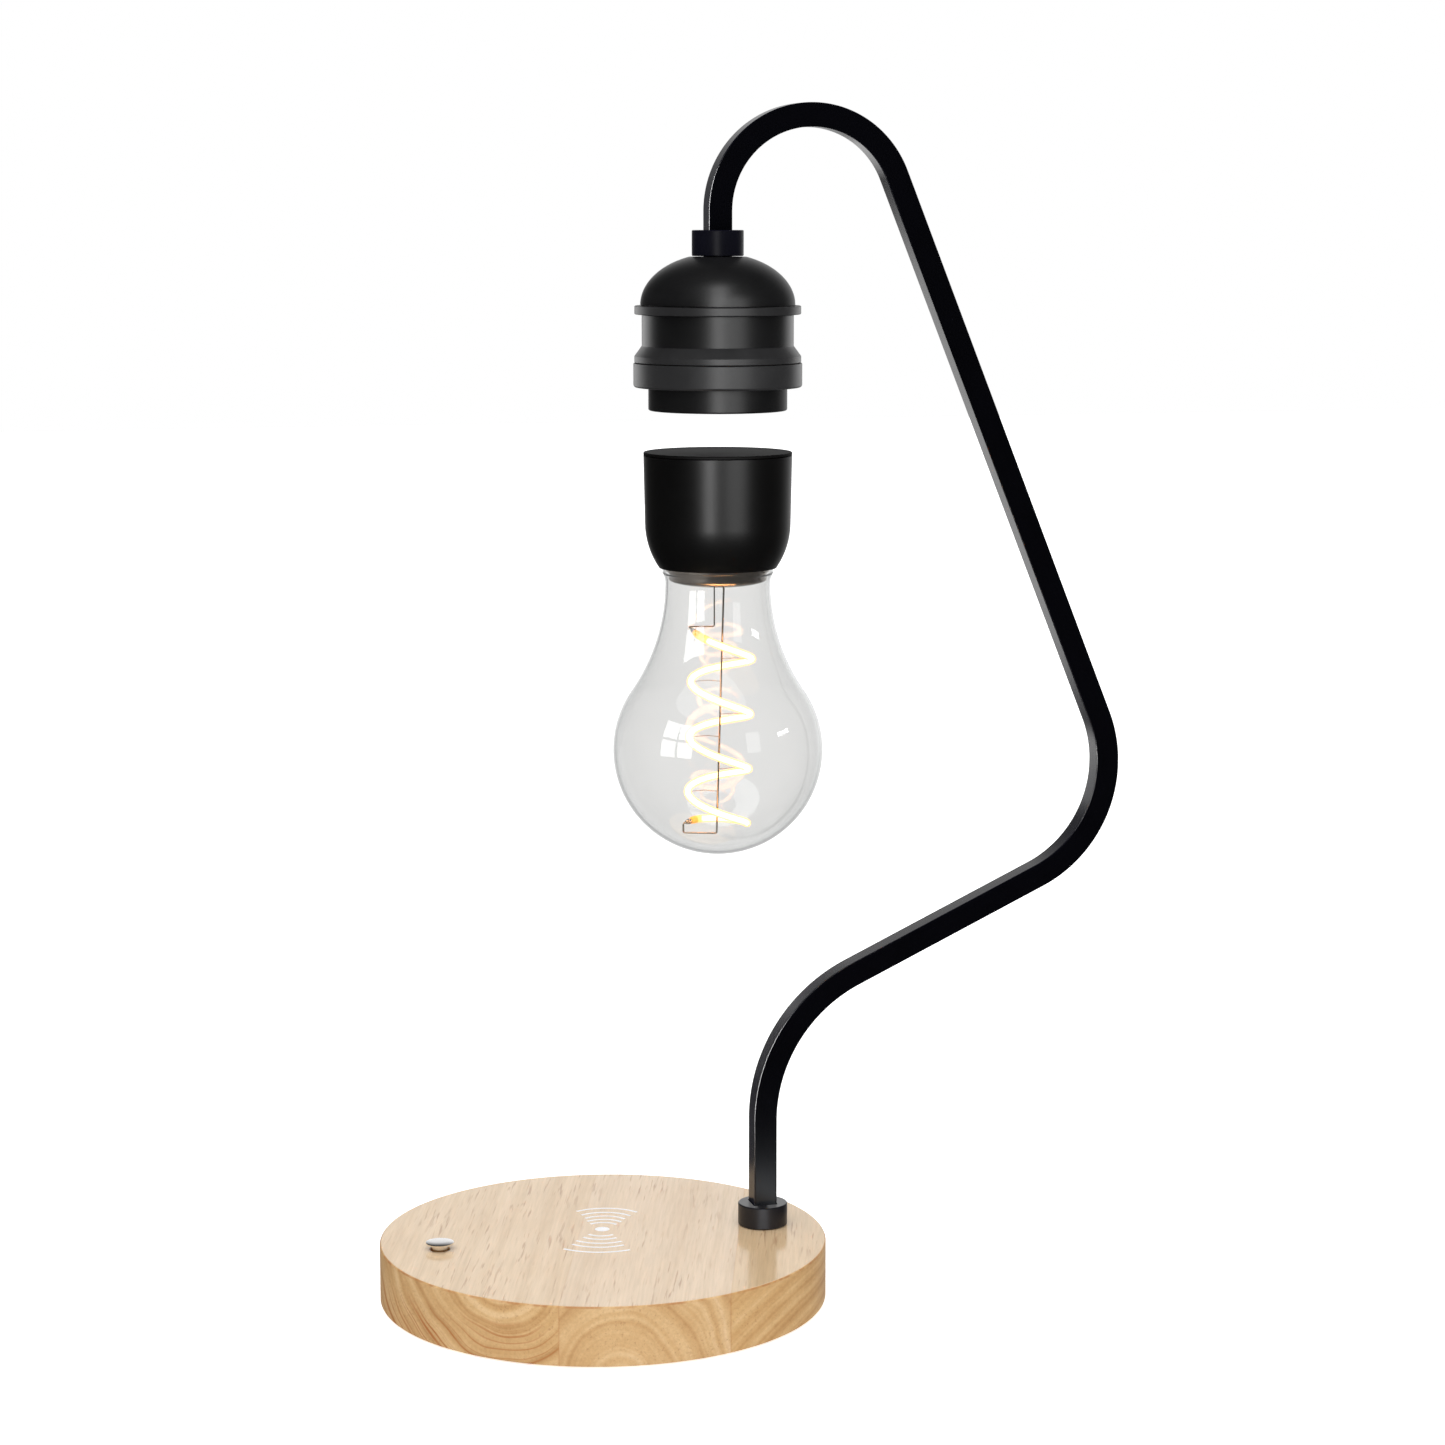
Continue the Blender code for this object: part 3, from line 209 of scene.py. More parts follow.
def tubeShape(points, radii, sides=16):
    # A round rod along a line of points, turned as little as possible on the way
    shape = bmesh.new()
    heading = (points[1] - points[0]).normalized()
    side = heading.orthogonal().normalized()
    turns = [math.tau * step / sides for step in range(sides)]
    rings = []
    for index, point in enumerate(points):
        before, after = points[max(index - 1, 0)], points[min(index + 1, len(points) - 1)]
        ahead = (after - before).normalized()
        side.rotate(heading.rotation_difference(ahead))
        heading, other = ahead, ahead.cross(side)
        wide = radii[index] if isinstance(radii, list) else radii
        spots = [point + wide * (side * math.cos(turn) + other * math.sin(turn)) for turn in turns]
        rings.append([shape.verts.new(spot) for spot in spots])
    for near, far in zip(rings, rings[1:]):
        skin(shape, near, far)
    shape.faces.new(rings[0])
    shape.faces.new(rings[-1])
    return shape


def joined(shapes):
    whole = bmesh.new()
    for shape in shapes:
        part = bpy.data.meshes.new("part")
        shape.to_mesh(part)
        shape.free()
        whole.from_mesh(part)
        bpy.data.meshes.remove(part)
    return whole


def cutBy(piece, cutters, sharpAbove=35.0):
    # Cuts the closed shapes out of the piece for good
    tool = finishMesh("cutter", joined(cutters), piece.data.materials[0])
    cut = piece.modifiers.new("cut", "BOOLEAN")
    cut.operation, cut.solver, cut.object = "DIFFERENCE", "EXACT", tool
    bpy.context.view_layer.update()
    after = bpy.data.meshes.new_from_object(piece.evaluated_get(bpy.context.evaluated_depsgraph_get()))
    piece.modifiers.clear()
    piece.data = after
    bpy.data.objects.remove(tool)
    after.set_sharp_from_angle(angle=math.radians(sharpAbove))


def boxShape(low, high):
    shape = bmesh.new()
    size, middle = Vector(high) - Vector(low), (Vector(high) + Vector(low)) / 2
    bmesh.ops.create_cube(shape, size=1.0, matrix=Matrix.Translation(middle) @ Matrix.Diagonal((*size, 1)))
    return shape


def mountOn(piece, body, slot, *nodes):
    # Every finished piece comes through here. Weighted normals keep its flats flat beside rounded edges.
    flats = piece.modifiers.new("flatNormals", "WEIGHTED_NORMAL")
    flats.keep_sharp = True
    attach(piece, body)
    if nodes:
        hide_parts(*nodes)


def mountTurned(name, node, outline, finish, body, slot, steps=160, sharpAbove=35.0):
    # A piece turned on the head's axis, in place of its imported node
    mountOn(latheFrom(name, outline, finish, headAxis, steps, sharpAbove), body, slot, node)


# Wood of the base: three boards glued side by side, cut across their growth rings at the rim

wood = {
    "boardTurn": math.radians(17.5), "seams": (-7.1 * mm, 39.2 * mm),
    "seamWidth": (0.05 * mm, 0.3 * mm),
    "ringCentres": ((-24.0 * mm, 24.0 * mm), (10.0 * mm, -1.0 * mm), (74.0 * mm, -30.0 * mm)),
    "ringStarts": (0.31, 0.0, 0.57), "ringScale": 250.0, "ringWobble": 3.6 * mm, "ringBlur": 0.35,
    "tints": ((1.0, 0.96, 0.90), (1.02, 1.0, 0.99), (0.98, 0.92, 0.82)),
    # The top's rings are paler than the rim's: partly the side grain's own tone, partly a painted sheen that
    # stands in for the lacquer's reflection of the bright studio
    "top": {
        "rings": [(0.25, (0.66, 0.52, 0.355)), (0.5, (0.71, 0.57, 0.40)), (0.75, (0.745, 0.605, 0.435))],
        "pore": (0.36, 0.20, 0.11),
        "poreShare": 0.62,
        "poreSize": (1350, 75, 1350),
        "fibre": (0.90, 1.05),
        "fleck": 0.0,
        "seam": 0.14,
        "coat": 0.14,
        "gloss": 1.7,
    },
    "rim": {
        "rings": [
            (0.26, (0.50, 0.29, 0.115)),
            (0.44, (0.595, 0.38, 0.17)),
            (0.58, (0.66, 0.45, 0.22)),
            (0.74, (0.73, 0.525, 0.29)),
        ],
        "pore": (0.34, 0.16, 0.06),
        "poreShare": 0.4,
        "poreSize": (1500, 700, 1500),
        "fibre": (0.95, 1.04),
        "fleck": 0.09,
        "seam": 0.3,
        "coat": 0.42,
        "gloss": 1.5,
    },
    "streak": (0.42, 0.145, 0.035), "streakHeights": (5.0 * mm, 13.0 * mm),
    "edgeStain": (0.42, 0.17, 0.06), "stainHeights": (16.8 * mm, 17.1 * mm), "relief": 0.03 * mm,
}


def lacqueredWood(name, side):
    finish, streak = wood[side], (*wood["streak"], 1)
    material, tree, shader = newMaterial(name)
    alongBoards = objectPlace(tree, turn=(0, 0, wood["boardTurn"]))
    across, _, height = addNode(tree, "ShaderNodeSeparateXYZ", {0: alongBoards}).outputs
    onLeft = sums(tree, "LESS_THAN", across, wood["seams"][0])
    onRight = sums(tree, "GREATER_THAN", across, wood["seams"][1])

    def grain(scale, detail, rough=0.55, twist=0.0):
        # Noise along the boards. They are turned first, and stretched after that.
        moved = addNode(tree, "ShaderNodeVectorMath", {0: alongBoards, 1: scale}, operation="MULTIPLY")
        return noise(tree, moved.outputs[0], 1.0, detail, rough, twist)

    def byBoard(values):
        left, middle, right = values
        shifted = sums(tree, "MULTIPLY_ADD", onLeft, left - middle, middle)
        return sums(tree, "MULTIPLY_ADD", onRight, right - middle, shifted)

    def ringNoise(scale, detail, rough=0.5):
        sockets = {"W": seeded, "Scale": scale, "Detail": detail, "Roughness": rough}
        return addNode(tree, "ShaderNodeTexNoise", sockets, noise_dimensions="1D").outputs["Fac"]

    # Distance from the heart of each board's log, bent a little along the grain
    wander = grain((34, 7, 44), 2.0)
    bend = sums(tree, "MULTIPLY", sums(tree, "SUBTRACT", wander, 0.5), 2 * wood["ringWobble"])
    fromHeart = {}
    for socket, value, hearts in zip((0, 2), (across, height), zip(*wood["ringCentres"])):
        fromHeart[socket] = sums(tree, "ADD", sums(tree, "SUBTRACT", value, byBoard(hearts)), bend)
    offset = addNode(tree, "ShaderNodeCombineXYZ", fromHeart).outputs[0]
    distance = addNode(tree, "ShaderNodeVectorMath", {0: offset}, operation="LENGTH").outputs["Value"]
    seeded = sums(tree, "ADD", distance, byBoard(wood["ringStarts"]))
    softly = sums(tree, "SUBTRACT", grain((70, 40, 70), 2.0), 0.5)
    level = sums(tree, "MULTIPLY_ADD", softly, wood["ringBlur"], ringNoise(wood["ringScale"], 2.5, 0.6))
    body = ramp(tree, level, *finish["rings"])

    # Long fibres, soft clouds of tint and the short brown pores between the fibres
    thin, thick = finish["fibre"]
    fibres = grain((1500, 60, 1500), 3.0, 0.62, 0.3)
    body = tinted(tree, body, ramp(tree, fibres, (0.3, thin), (0.7, thick)))
    fleck = [1 - share * finish["fleck"] for share in (1, 1.3, 1.7)]
    body = tinted(tree, body, ramp(tree, grain((950, 500, 950), 4.0, 0.7), (0.34, fleck), (0.6, 1)))
    clouds = grain((55, 18, 55), 3.0)
    body = tinted(tree, body, ramp(tree, clouds, (0.3, (0.97, 0.93, 0.90)), (0.7, (1.03, 1.02, 1.03))))
    pores = ramp(tree, grain(finish["poreSize"], 1.0, 0.5, 0.3), (0.60, 0), (0.72, 1))
    pores = tinted(tree, pores, ramp(tree, grain((75, 22, 75), 3.0), (0.38, 0.12), (0.58, 1)))
    body = mixed(tree, sums(tree, "MULTIPLY", pores, finish["poreShare"]), body, (*finish["pore"], 1))

    # Each board has its own tint, and the glue lines between them show as fine seams
    left, middle, right = [(*tint, 1) for tint in wood["tints"]]
    tint = mixed(tree, onRight, mixed(tree, onLeft, middle, left), right)
    body = tinted(tree, body, tint)
    for seam in wood["seams"]:
        away = sums(tree, "ABSOLUTE", sums(tree, "SUBTRACT", across, seam))
        body = mixed(tree, spread(tree, away, finish["seam"], 0.0, *wood["seamWidth"]), body, streak)
    if side == "rim":
        # Rust-brown lines follow the rings low on the left board, and stain gathers in the sanded edge
        lines = ramp(tree, ringNoise(900.0, 1.0), (0.50, 0), (0.64, 1))
        where = ramp(tree, noise(tree, objectPlace(tree, (30, 30, 90)), 1.0, 2.0), (0.25, 0.1), (0.45, 1))
        low = spread(tree, height, 1.0, 0.0, *wood["streakHeights"])
        share = sums(tree, "MULTIPLY", sums(tree, "MULTIPLY", lines, where), low)
        share = sums(tree, "MULTIPLY", share, sums(tree, "MULTIPLY_ADD", onLeft, 0.85, 0.1))
        body = mixed(tree, share, body, streak)
        nearTop = spread(tree, height, 0.0, 1.0, *wood["stainHeights"])
        broken = ramp(tree, noise(tree, objectPlace(tree), 260.0, 2.0), (0.4, 0), (0.62, 0.7))
        body = mixed(tree, sums(tree, "MULTIPLY", nearTop, broken), body, (*wood["edgeStain"], 1))
    gloss = spread(tree, grain((500, 60, 500), 2.0), finish["coat"] - 0.04, finish["coat"] + 0.04)
    relief = bumped(tree, sums(tree, "SUBTRACT", fibres, pores), wood["relief"], 0.3)
    coat(tree, shader, body, gloss, relief, IOR=finish["gloss"])
    return material


# The top's paler tones hold a painted sheen as well as the grain's own colour
topWoodWithPaintedSheen = lacqueredWood("lacqueredBoardTopWithPaintedSheen", "top")
rimWood = lacqueredWood("lacqueredEndGrain", "rim")
print("wood mixed")


# Paints: colour, roughness, grain of the orange peel, its height in mm, shine, and drift of roughness

paints = {
    "satinArmPaint": ((0.0003, 0.0003, 0.0014), 0.24, 2300.0, 0.005),
    "satinHeadPaint": ((0.0045, 0.0045, 0.0048), 0.36, 2600.0),
    "satinTrimPaint": ((0.0155, 0.0155, 0.0162), 0.39, 2600.0),
    "blueBlackFerrule": ((0.0035, 0.0035, 0.009), 0.34, 2600.0),
    "satinFootPaint": ((0.0055, 0.0056, 0.0078), 0.34, 2600.0),
    "satinCapCoat": ((0.0014, 0.0013, 0.0013), 0.34, 3400.0, 0.004, 0.33, 0.005),
    "satinLidCoat": ((0.0014, 0.0013, 0.0013), 0.6, 3400.0, 0.004, 0.15),
}


def satinPaint(name, colour, roughness, grain, lift=0.006, level=0.5, drift=0.012):
    # Sprayed coat with a fine orange peel and faint dust and handling marks
    material, tree, shader = newMaterial(name)
    place = objectPlace(tree)
    marks = noise(tree, place, 70.0, 4.0, 0.6, 0.6)
    shade = ramp(tree, marks, (0.3, shaded(colour, 0.8)), (0.75, shaded(colour, 1.25)))
    gloss = spread(tree, marks, roughness - drift, roughness + 1.5 * drift, 0.3, 0.7)
    relief = bumped(tree, noise(tree, place, grain, 2.0, 0.5), lift * mm, 0.6)
    coat(tree, shader, shade, gloss, relief, **{"Specular IOR Level": level})
    return material


# Metals: colour, roughness, depth of the scratches in mm, their stretch, and scale of the waves

metals = {
    "brightChrome": ((0.99, 0.98, 0.97), 0.06, 0.002, (0.3, 0.3, 0.3)),
    "brightSteel": ((0.60, 0.60, 0.60), 0.26, 0.004, (1, 1, 8)),
    "mirroredStemMetal": ((0.62, 0.55, 0.49), 0.09, 0.14, (1, 1, 1), 420.0),
    "nickelPlate": ((0.66, 0.63, 0.58), 0.18, 0.003),
    "zincPlatedSheet": ((0.52, 0.53, 0.54), 0.38, 0.006, (1, 12, 1)),
    "thinNickelWire": ((0.50, 0.47, 0.44), 0.16, 0.004),
}


def bareMetal(name, colour, roughness, scratch, stretch=(1, 1, 1), wave=0.0):
    material, tree, shader = newMaterial(name)
    lines = noise(tree, objectPlace(tree, stretch), 1400.0, 3.0, 0.6)
    tone = ramp(tree, noise(tree, objectPlace(tree), 160.0, 3.0), (0.25, shaded(colour, 0.9)), (0.75, colour))
    height = noise(tree, objectPlace(tree), wave, 2.0) if wave else lines
    gloss = spread(tree, lines, roughness * 0.75, roughness * 1.3)
    relief = bumped(tree, height, scratch * mm, 0.5)
    coat(tree, shader, tone, gloss, relief, Metallic=1.0)
    return material


# Plastics and rubber: colour, roughness, grain of the pebbled skin and its height in mm

plastics = {
    "socketPlastic": ((0.012, 0.012, 0.013), 0.42),
    "leadPlastic": ((0.02, 0.02, 0.021), 0.5),
    "ribbedRubber": ((0.018, 0.018, 0.018), 0.82, 900.0, 0.05),
    "sinteredFerrite": ((0.055, 0.055, 0.06), 0.66, 2600.0, 0.02),
}


def mouldedPlastic(name, colour, roughness, grain=1800.0, lift=0.01):
    material, tree, shader = newMaterial(name)
    place = objectPlace(tree)
    pebble = noise(tree, place, grain, 2.0)
    tone = ramp(tree, noise(tree, place, 90.0, 3.0), (0.3, shaded(colour, 0.85)), (0.7, shaded(colour, 1.15)))
    gloss = spread(tree, pebble, roughness - 0.06, roughness + 0.06)
    coat(tree, shader, tone, gloss, bumped(tree, pebble, lift * mm, 0.5))
    return material


def woundCopper(name):
    # Enamelled wire: fine turns round the head's or the base's own axis
    material, tree, shader = newMaterial(name)
    turns = noise(tree, objectPlace(tree, (1, 1, 3200)), 1.0, 1.0)
    cloud = noise(tree, objectPlace(tree), 220.0, 2.0)
    tone = ramp(tree, turns, (0.35, (0.42, 0.15, 0.05)), (0.65, (0.85, 0.42, 0.18)))
    tone = mixed(tree, 0.3, tone, ramp(tree, cloud, (0.3, (0.5, 0.2, 0.08)), (0.7, (0.8, 0.4, 0.2))))
    gloss, relief = spread(tree, cloud, 0.25, 0.42), bumped(tree, turns, 0.05 * mm, 0.6)
    coat(tree, shader, tone, gloss, relief, Metallic=1.0)
    return material


def circuitBoard(name):
    material, tree, shader = newMaterial(name)
    sockets = {"Vector": objectPlace(tree), "Scale": 420.0}
    cells = addNode(tree, "ShaderNodeTexVoronoi", sockets, distance="MANHATTAN").outputs["Distance"]
    tracks = ramp(tree, cells, (0.42, (0.010, 0.085, 0.030)), (0.5, (0.022, 0.17, 0.065)))
    cloud = noise(tree, objectPlace(tree), 180.0, 3.0)
    tone = mixed(tree, 0.25, tracks, ramp(tree, cloud, (0.3, (0.01, 0.07, 0.02)), (0.7, (0.03, 0.2, 0.08))))
    gloss, relief = spread(tree, cloud, 0.3, 0.5), bumped(tree, cells, 0.03 * mm, 0.4)
    coat(tree, shader, tone, gloss, relief)
    return material


mixes = [satinPaint(name, *values) for name, values in paints.items()]
armPaint, headPaint, trimPaint, ferrulePaint, footPaint, capPlastic, lidPlastic = mixes
mixes = [bareMetal(name, *values) for name, values in metals.items()]
brightChrome, brightSteel, mirrorMetal, nickelMetal, zincPlate, thinWire = mixes
mixes = [mouldedPlastic(name, *values) for name, values in plastics.items()]
socketPlastic, leadPlastic, padRubber, ferriteGrey = mixes
copperWire, boardGreen = woundCopper("enamelledCopper"), circuitBoard("solderMask")
print("finishes mixed")


# Wooden base

base = {
    "radius": 64.5 * mm, "top": 17.5 * mm, "bottom": 0.4 * mm, "edge": 0.6 * mm,
    "cavityRadius": 56.0 * mm, "cavityTop": 13.8 * mm, "cavityEdge": 1.2 * mm,
    "ledgeRadius": 62.2 * mm, "ledge": 2.8 * mm, "ledgeEdge": 0.3 * mm, "buttonHole": 2.6 * mm,
    "buttonChamfer": 0.6 * mm, "spigotHole": 4.3 * mm, "holeFloor": 12.0 * mm,
    "socketHole": 4.5 * mm, "socketHeight": 7.6 * mm, "socketChamfer": 0.7 * mm,
    "socketDepth": 14.5 * mm, "steps": 256,
}


def turnedToRear(shape):
    # Lays an upright turned shape down at the socket's height, so that its top points to the rear
    bmesh.ops.rotate(shape, verts=shape.verts, matrix=Matrix.Rotation(-math.pi / 2, 3, "X"))
    bmesh.ops.translate(shape, verts=shape.verts, vec=(0, 0, base["socketHeight"]))
    return shape


def makeBase():
    b = base
    cavity, ledge, radius = b["cavityRadius"], b["ledgeRadius"], b["radius"]
    outline = [(0, b["cavityTop"]), (cavity, b["cavityTop"], b["cavityEdge"]), (cavity, b["ledge"])]
    outline += [(ledge, b["ledge"]), (ledge, b["bottom"], b["ledgeEdge"]), (radius, b["bottom"], b["edge"])]
    outline += [(radius, b["top"], b["edge"]), (0, b["top"])]
    piece = latheFrom("wooden_base", filleted(outline), [topWoodWithPaintedSheen, rimWood], steps=b["steps"])
    floor, hole, chamfer = b["holeFloor"], b["buttonHole"], b["buttonChamfer"]
    above, past = b["top"] + 0.2 * mm, b["top"] + 1.5 * mm
    buttonHole = [(0, floor), (hole, floor), (hole, above - chamfer), (hole + chamfer, above), (0, above)]
    spigotHole = [(0, floor), (b["spigotHole"], floor), (b["spigotHole"], past), (0, past)]
    # The chamfer is cut on past the rim, which curves away from the hole
    hole, inner, reach = b["socketHole"], radius - b["socketDepth"], radius + 1 * mm
    funnel = b["socketChamfer"] + 1.3 * mm
    port = [(0, inner), (hole, inner), (hole, reach - funnel), (hole + funnel, reach)]
    port = turnedToRear(latheShape(port + [(0, reach)], steps=64))
    cutBy(piece, [latheShape(buttonHole, buttonAxis, 64), latheShape(spigotHole, footAxis, 64), port])
    # Side grain on the top, end grain round the rim and its rounded edges
    for face in piece.data.polygons:
        face.material_index = 0 if face.normal.z > 0.8 and face.center.z > b["top"] - 0.5 * mm else 1
    mountOn(piece, "stand", "pale_wood", "wood_base")


makeBase()
print("base turned")


# Charging mark: a dot with five waves behind it and five in front, printed along the boards.
# A wave is how far it lies from the dot, how wide it is and how high it rises, in mm.

mark = {
    "centre": (1.25 * mm, 6.7 * mm), "dot": 2.15 * mm, "line": 0.95 * mm, "thickness": 0.03 * mm,
    "sunk": 0.01 * mm,
    "behind": [(21.0, 17.9, 3.6), (16.8, 14.4, 3.1), (13.1, 11.6, 2.6), (9.7, 10.0, 2.2), (6.5, 7.6, 1.6)],
    "infront": [(22.3, 19.0, 2.8), (17.6, 14.8, 2.6), (13.8, 13.2, 2.3), (10.0, 9.6, 1.9), (6.7, 7.0, 1.5)],
}


def printedInk():
    material, tree, shader = newMaterial("printedSilverInk")
    speckle = noise(tree, objectPlace(tree), 3200.0, 2.0)
    tone = ramp(tree, speckle, (0.35, (0.86, 0.88, 0.92)), (0.6, (0.97, 0.98, 1.0)))
    gloss, relief = spread(tree, speckle, 0.3, 0.5), bumped(tree, speckle, 0.01 * mm, 0.4)
    coat(tree, shader, tone, gloss, relief)
    return material


def ribbonShape(points, width, low, high):
    # A flat printed line with square ends
    shape = bmesh.new()
    stations = []
    for index, point in enumerate(points):
        before, after = points[max(index - 1, 0)], points[min(index + 1, len(points) - 1)]
        side = Vector((before.y - after.y, after.x - before.x)).normalized() * width / 2
        corners = [(point + side, low), (point - side, low), (point - side, high), (point + side, high)]
        stations.append([shape.verts.new((spot.x, spot.y, z)) for spot, z in corners])
    for near, far in zip(stations, stations[1:]):
        skin(shape, near, far)
    shape.faces.new(stations[0])
    shape.faces.new(stations[-1])
    return shape


def makeMark():
    m = mark
    low, high = base["top"] - m["sunk"], base["top"] + m["thickness"]
    slant = Matrix.Rotation(-wood["boardTurn"], 2)
    shapes = [latheShape([(0, low), (m["dot"], low), (m["dot"], high), (0, high)], m["centre"], 48)]
    for way, waves in ((1, m["behind"]), (-1, m["infront"])):
        for away, width, rise in waves:
            half, sag = width * mm / 2, rise * mm
            radius = (half**2 + sag**2) / (2 * sag)
            points = []
            for step in range(25):
                turn = math.asin(half / radius) * (step / 12 - 1)
                flat = Vector((radius * math.sin(turn), way * (away * mm - radius * (1 - math.cos(turn)))))
                points.append(Vector(m["centre"]) + slant @ flat)
            shapes.append(ribbonShape(points, m["line"], low, high))
    mountOn(finishMesh("charge_mark", joined(shapes), printedInk()), "stand", "nickel_magnet")


makeMark()
print("mark printed")


# Push button, a chromed mushroom on a slim neck

button = {
    "head": 4.05 * mm, "neck": 2.3 * mm, "crown": 0.22 * mm, "edge": 0.3 * mm,
    "thickness": 0.9 * mm, "lower": 0.12 * mm, "steps": 96,
}


def makeButton():
    b = button
    low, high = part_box("power_button")
    top, under, head = high.z, high.z - b["thickness"], b["head"]
    rim = under + 0.28 * mm
    outline = [(0, top), (head * 0.5, top - 0.04 * mm), (head - b["edge"] * 1.4, top - b["crown"])]
    outline += [(head - 0.05 * mm, top - b["crown"] - 0.16 * mm), (head, rim)]
    outline += filleted([(head, rim), (head - 0.1 * mm, under, b["lower"]), (b["neck"], under)], 4)[1:]
    outline += [(b["neck"], low.z), (0, low.z)]
    piece = latheFrom("push_button", outline, brightChrome, buttonAxis, b["steps"], 50.0)
    mountOn(piece, "button", "chrome", "power_button")


makeButton()
print("button turned")


# Collar at the foot of the arm and ferrule at its head, each with a square socket for the bar

fittings = {
    "collar": (7.2 * mm, 6.4 * mm), "ferrule": (7.3 * mm, 7.2 * mm), "edge": 0.35 * mm,
    "bar": 6.8 * mm, "play": 0.2 * mm, "floor": 1.0 * mm, "spigot": 4.0 * mm,
    "spigotEdge": 0.3 * mm, "bore": 2.2 * mm, "steps": 128,
}


def makeFitting(name, node, size, centre, finish):
    f = fittings
    radius, height = f[size]
    low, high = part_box(node)
    seat = high.z - height
    outline = [(f["bore"], low.z), (f["spigot"], low.z, f["spigotEdge"]), (f["spigot"], seat)]
    outline += [(radius, seat, f["edge"]), (radius, high.z, f["edge"]), (f["bore"], high.z)]
    piece = latheFrom(name, filleted(outline, 5), finish, centre, f["steps"])
    half = f["bar"] / 2 + f["play"]
    start, end = (centre[0] - half, -half, seat + f["floor"]), (centre[0] + half, half, high.z + 1 * mm)
    cutBy(piece, [boxShape(start, end)])
    mountOn(piece, "stand", "black_metal", node)


makeFitting("foot_socket_collar", "foot_collar", "collar", footAxis, footPaint)
makeFitting("arm_ferrule", "head_ferrule", "ferrule", headAxis, ferrulePaint)
print("fittings turned")


# Bent square arm. Each bend is the straight before it in mm, its radius in mm and its turn in degrees.

arm = {
    "bar": 6.8 * mm, "wall": 1.0 * mm, "corner": 0.45 * mm, "cornerSteps": 6,
    "bends": [(31.7, 46.5, -65.0), (62.5, 36.4, 87.1), (169.5, 26.8, None)],
    "stepTurn": math.radians(1.5),
}


def armLine(start, end):
    # (x, z, heading) of the bar's middle line, from the foot up and over until it points down
    x, z, heading = footAxis[0], base["top"], math.pi / 2
    line = [(x, start, heading)]
    for run, radius, turn in arm["bends"]:
        turn = 1.5 * math.pi - heading if turn is None else math.radians(turn)
        x += run * mm * math.cos(heading)
        z += run * mm * math.sin(heading)
        line.append((x, z, heading))
        side = math.copysign(radius * mm, turn)
        middleX, middleZ = x - side * math.sin(heading), z + side * math.cos(heading)
        steps = math.ceil(abs(turn) / arm["stepTurn"])
        for step in range(1, steps + 1):
            ahead = heading + turn * step / steps
            line.append((middleX + side * math.sin(ahead), middleZ - side * math.cos(ahead), ahead))
        x, z, heading = line[-1]
    return line + [(headAxis[0], end, heading)]


def squareSection(half, corner):
    points = []
    steps = arm["cornerSteps"]
    for quarter in range(4):
        middle = Vector((half - corner, half - corner))
        middle.rotate(Matrix.Rotation(quarter * math.pi / 2, 2))
        for step in range(steps + 1):
            turn = math.pi / 2 * (quarter + step / steps)
            points.append(middle + corner * Vector((math.cos(turn), math.sin(turn))))
    return points


def makeArm():
    low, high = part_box("arm_tube")
    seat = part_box("head_ferrule")[1].z - fittings["ferrule"][1] + fittings["floor"] + fittings["play"]
    half, corner = arm["bar"] / 2, arm["corner"]
    sections = (squareSection(half, corner), squareSection(half - arm["wall"], corner / 2))
    shape = bmesh.new()
    stations = []
    for x, z, heading in armLine(low.z, seat):
        middle, across = Vector((x, 0, z)), Vector((-math.sin(heading), 0, math.cos(heading)))
        rings = [[middle + u * across + v * Vector((0, 1, 0)) for u, v in section] for section in sections]
        stations.append([[shape.verts.new(spot) for spot in ring] for ring in rings])
    for here, ahead in zip(stations, stations[1:]):
        for near, far in zip(here, ahead):
            skin(shape, near, far)
    for outside, inside in (stations[0], stations[-1]):
        skin(shape, outside, inside)
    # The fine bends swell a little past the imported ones, so they are eased back to their edge
    for vertex in shape.verts:
        vertex.co.x, vertex.co.z = min(vertex.co.x, high.x), min(vertex.co.z, high.z)
    mountOn(finishMesh("bent_arm", shape, armPaint, 60.0), "stand", "black_metal", "arm_tube")


makeArm()
print("arm bent")


# Shell of the head: dome, coupling flange, barrel with its cone and lip, collar and face cup

head = {
    "dome": 21.8 * mm, "crown": 14.45 * mm, "sheet": 1.2 * mm, "spigotHole": 4.2 * mm,
    "flange": 23.45 * mm, "flangeStep": 2.0 * mm, "flangePlay": 0.8 * mm, "coupling": 20.0 * mm,
    "couplingBore": 18.2 * mm, "barrel": 21.4 * mm, "barrelHeight": 8.6 * mm,
    "coneHeight": 2.9 * mm,
    "coneEdge": 0.5 * mm, "lipUpperEdge": 0.35 * mm, "lipLowerEdge": 0.15 * mm,
    "lip": 23.5 * mm, "collar": 23.8 * mm, "collarWall": 1.8 * mm,
    "collarFloor": 2.0 * mm, "collarEdge": 0.8 * mm, "face": 19.6 * mm, "faceWall": 1.2 * mm,
    "faceFloor": 1.0 * mm, "faceEdge": 0.5 * mm, "trimEdge": 0.3 * mm, "play": 0.2 * mm,
}


def domeLine(radius, crown, foot, rise, steps):
    top = math.asin(rise / crown)
    turns = [top * (1 - step / steps) for step in range(steps + 1)]
    return [(radius * math.cos(turn), foot + crown * math.sin(turn)) for turn in turns]


